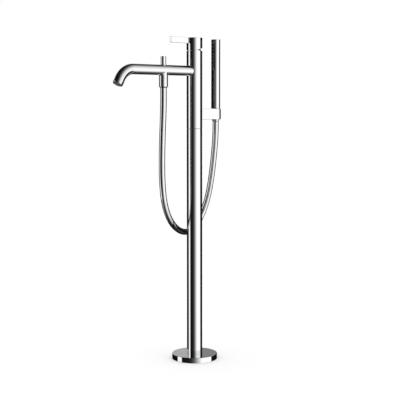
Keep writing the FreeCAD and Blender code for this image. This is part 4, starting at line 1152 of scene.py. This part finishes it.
# %% [markdown]
# ## Floor
#
# The filler stands on a plain white floor that meets a white surround without an edge. The floor shows its own
# colour to the camera and takes the soft shadow round the rosette. For mirror rays it steps aside, so the chrome
# reflects the studio that the world describes.

# %% Floor
FLOOR_HALF, FLOOR_Z = 30000.0, -0.2


def floor_finish():
    """Matt white paint that also glows a little, so that it meets the white surround."""
    material, where = start_finish("studio_floor")
    sheet = where.sheet
    colour = blend_colours(speckle(where, 3.0), (0.80, 0.80, 0.80), (0.82, 0.82, 0.82))
    paint = sheet.add("ShaderNodeBsdfPrincipled", None,
                      {"Base Color": colour, "Roughness": 0.9, "Specular IOR Level": 0.0})
    glow = sheet.add("ShaderNodeEmission", None, {"Color": (1, 1, 1, 1), "Strength": 0.22})
    lit = sheet.add("ShaderNodeAddShader", None, {0: paint, 1: glow})
    sheet.node("ShaderNodeOutputMaterial", None, {"Surface": lit})
    return material


floor_corners = [(x * FLOOR_HALF, y * FLOOR_HALF, FLOOR_Z) for x, y in ((-1, -1), (1, -1), (1, 1), (-1, 1))]
floor = make_mesh("studio_floor", (floor_corners, [(0, 1, 2, 3)]), floor_finish())
floor.visible_glossy = False

# %% [markdown]
# ## The studio that the chrome reflects
#
# A mirror finish has no look of its own, so the light matters more than the colour. A photographer stands white
# panels and black cloths round such an object: the panels give the bright stripes and the cloths the dark ones.
# Lamps with an area shape could do all of this, but a tall column reflects a ring of directions, and that is
# easiest to draw on the world itself. One ramp runs round the horizon, with a dim card behind for the views from
# the back. A second one, a little higher, adds a grey card behind the filler, which the flat top of the rosette
# reflects. Overhead and below, the light fades away from one soft window on the right. On the level and at steep
# angles, what one mirror shows of another is kept dim, as in the photo, where the hand shower and the column
# show each other as dark bands. Camera rays see plain white and diffuse surfaces see even light.

# %% Panels round the horizon
def at(degrees):
    """Place on a ramp of a direction, in degrees to the right of the camera."""
    return degrees / 360.0 + 0.5


BLACK_CLOTH, BACK_PANEL, HIGH_FADE = 0.004, 0.10, 0.8
FRONT_PANELS = [
    (at(-96), BLACK_CLOTH), (at(-66), 0.006), (at(-30), 0.010), (at(-15), 0.03), (at(-5), 0.09), (at(5), 0.24),
    (at(20), 0.58), (at(34), 0.92), (at(40), 1.0), (at(92), 1.0), (at(94.5), 0.006)]
LOW_PANELS = [(at(-180), BACK_PANEL), (at(-164), BACK_PANEL), (at(-161), BLACK_CLOTH)] + FRONT_PANELS + [
    (at(161), BLACK_CLOTH), (at(164), BACK_PANEL)]
HIGH_PANELS = [(at(-180), 0.38), (at(-118), 0.34)] + [(place, HIGH_FADE * level) for place, level in FRONT_PANELS]
HIGH_PANELS += [(at(165), BLACK_CLOTH), (at(176), 0.20)]

# %% Light from above and from below, by how far a direction leans to the window
OVERHEAD = [(-0.3, 0.006), (0.0, 0.025), (0.2, 0.06), (0.34, 0.14), (0.47, 0.20), (0.65, 0.40), (0.84, 0.72),
            (1.0, 0.80)]
UNDERFOOT = [(-0.1, 0.008), (0.3, 0.018), (0.5, 0.05), (0.6, 0.11), (0.7, 0.32), (0.83, 0.68), (1.0, 1.0)]
BLACK, GREY, WHITE = (0.0, 0.0, 0.0, 1.0), (0.35, 0.35, 0.35, 1.0), (1.0, 1.0, 1.0, 1.0)


# %% World
def world_studio():
    """The world's colour by direction, for mirror rays; plain white for the others."""
    world = bpy.data.worlds.new("studio")
    world.use_nodes = True
    bpy.context.scene.world = world
    sheet = Sheet(world.node_tree)
    way = sheet.add("ShaderNodeTexCoord", output="Generated")

    def share_of(direction):
        return sheet.add("ShaderNodeVectorMath", {"operation": "DOT_PRODUCT"}, {0: way, 1: direction}, output="Value")

    def ramp(stops, level):
        return sheet.add("ShaderNodeValToRGB", {"stops": stops}, {"Fac": level})

    def lean(stops, level):
        return ramp([(place * 0.5 + 0.5, grey) for place, grey in stops], level * 0.5 + 0.5)

    def between(level, low, high):
        return sheet.add("ShaderNodeMapRange", {"clamp": True}, {"Value": level, "From Min": low, "From Max": high})

    def mix(share, first, second):
        return sheet.add("ShaderNodeMix", {"data_type": "RGBA"}, {"Factor": share, "A": first, "B": second},
                         output="Result")

    ahead, right, up = share_of(towards_camera), share_of(viewers_right), share_of((0, 0, 1))
    steep = up.maths("ABSOLUTE")
    turn = right.maths("ARCTAN2", ahead) / (2 * pi) + 0.5 - 0.097 * up * up
    panels = mix(between(up, 0.11, 0.17), ramp(LOW_PANELS, turn), ramp(HIGH_PANELS, turn))
    overhead = lean(OVERHEAD, right + 0.2 * ahead)
    underfoot = lean(UNDERFOOT, 0.48 * ahead + 0.84 * right + 0.26 * steep)
    underfoot = mix(between(right, -0.40, -0.90), underfoot, GREY)
    room = mix(between(up, 0.30, 0.53), panels, overhead)
    room = mix(between(up, -0.34, -0.55), room, underfoot)
    rays = sheet.node("ShaderNodeLightPath")
    mirror = Level(sheet, rays.outputs["Is Glossy Ray"])
    second = Level(sheet, rays.outputs["Ray Depth"]).maths("GREATER_THAN", 2.5)
    dimmed = 1.0 - between(steep, 0.12, 0.20) + between(up, 0.32, 0.40) + between(up, -0.58, -0.66)
    room = mix(0.80 * second * dimmed, room, BLACK)
    glow = sheet.add("ShaderNodeBackground", None, {"Color": mix(mirror, WHITE, room),
                                                    "Strength": 1.0 + 0.12 * mirror})
    sheet.node("ShaderNodeOutputWorld", None, {"Surface": glow})


world_studio()
bpy.context.scene.view_settings.view_transform = "Standard"

# %% [markdown]
# ## A strip light on the left
#
# The bright line down the left of the column comes from a tall light on the left. It could be one more panel of
# the world, but the hand shower shows no such line in the photo, and a world shows the same to every piece. So it
# is a lamp, and light linking names the pieces that it reaches: all but the hand shower, its nut and the floor.

# %% The strip light
LIGHT_FROM, LIGHT_TO, LIGHT_FAR = radians(-94.5), radians(-67.5), 1.5
LIGHT_LOW_Z, LIGHT_TOP_Z = -0.4, 1.2
LEFT_OUT = ("hand_shower", "stick", "spray", "cone", "top_cap", "studio")
aside = (LIGHT_FROM + LIGHT_TO) / 2
towards_light = viewers_right * sin(aside) + towards_camera * cos(aside)
light = bpy.data.lights.new("strip_light", "AREA")
light.shape = "RECTANGLE"
light.size = 2 * LIGHT_FAR * tan((LIGHT_TO - LIGHT_FROM) / 2)
light.size_y = LIGHT_TOP_Z - LIGHT_LOW_Z
light.energy = pi * light.size * light.size_y
light.diffuse_factor = 0.0
stand = put("strip_light", light)
stand.location = towards_light * LIGHT_FAR + Vector((0, 0, (LIGHT_LOW_Z + LIGHT_TOP_Z) / 2))
stand.rotation_euler = towards_light.to_track_quat("Z", "Y").to_euler()
stand.visible_camera = False
lit_pieces = bpy.data.collections.new("lit_by_the_strip")
for piece in bpy.context.scene.objects:
    if piece.type == "MESH" and not any(word in piece.name for word in LEFT_OUT):
        lit_pieces.objects.link(piece)
stand.light_linking.receiver_collection = lit_pieces
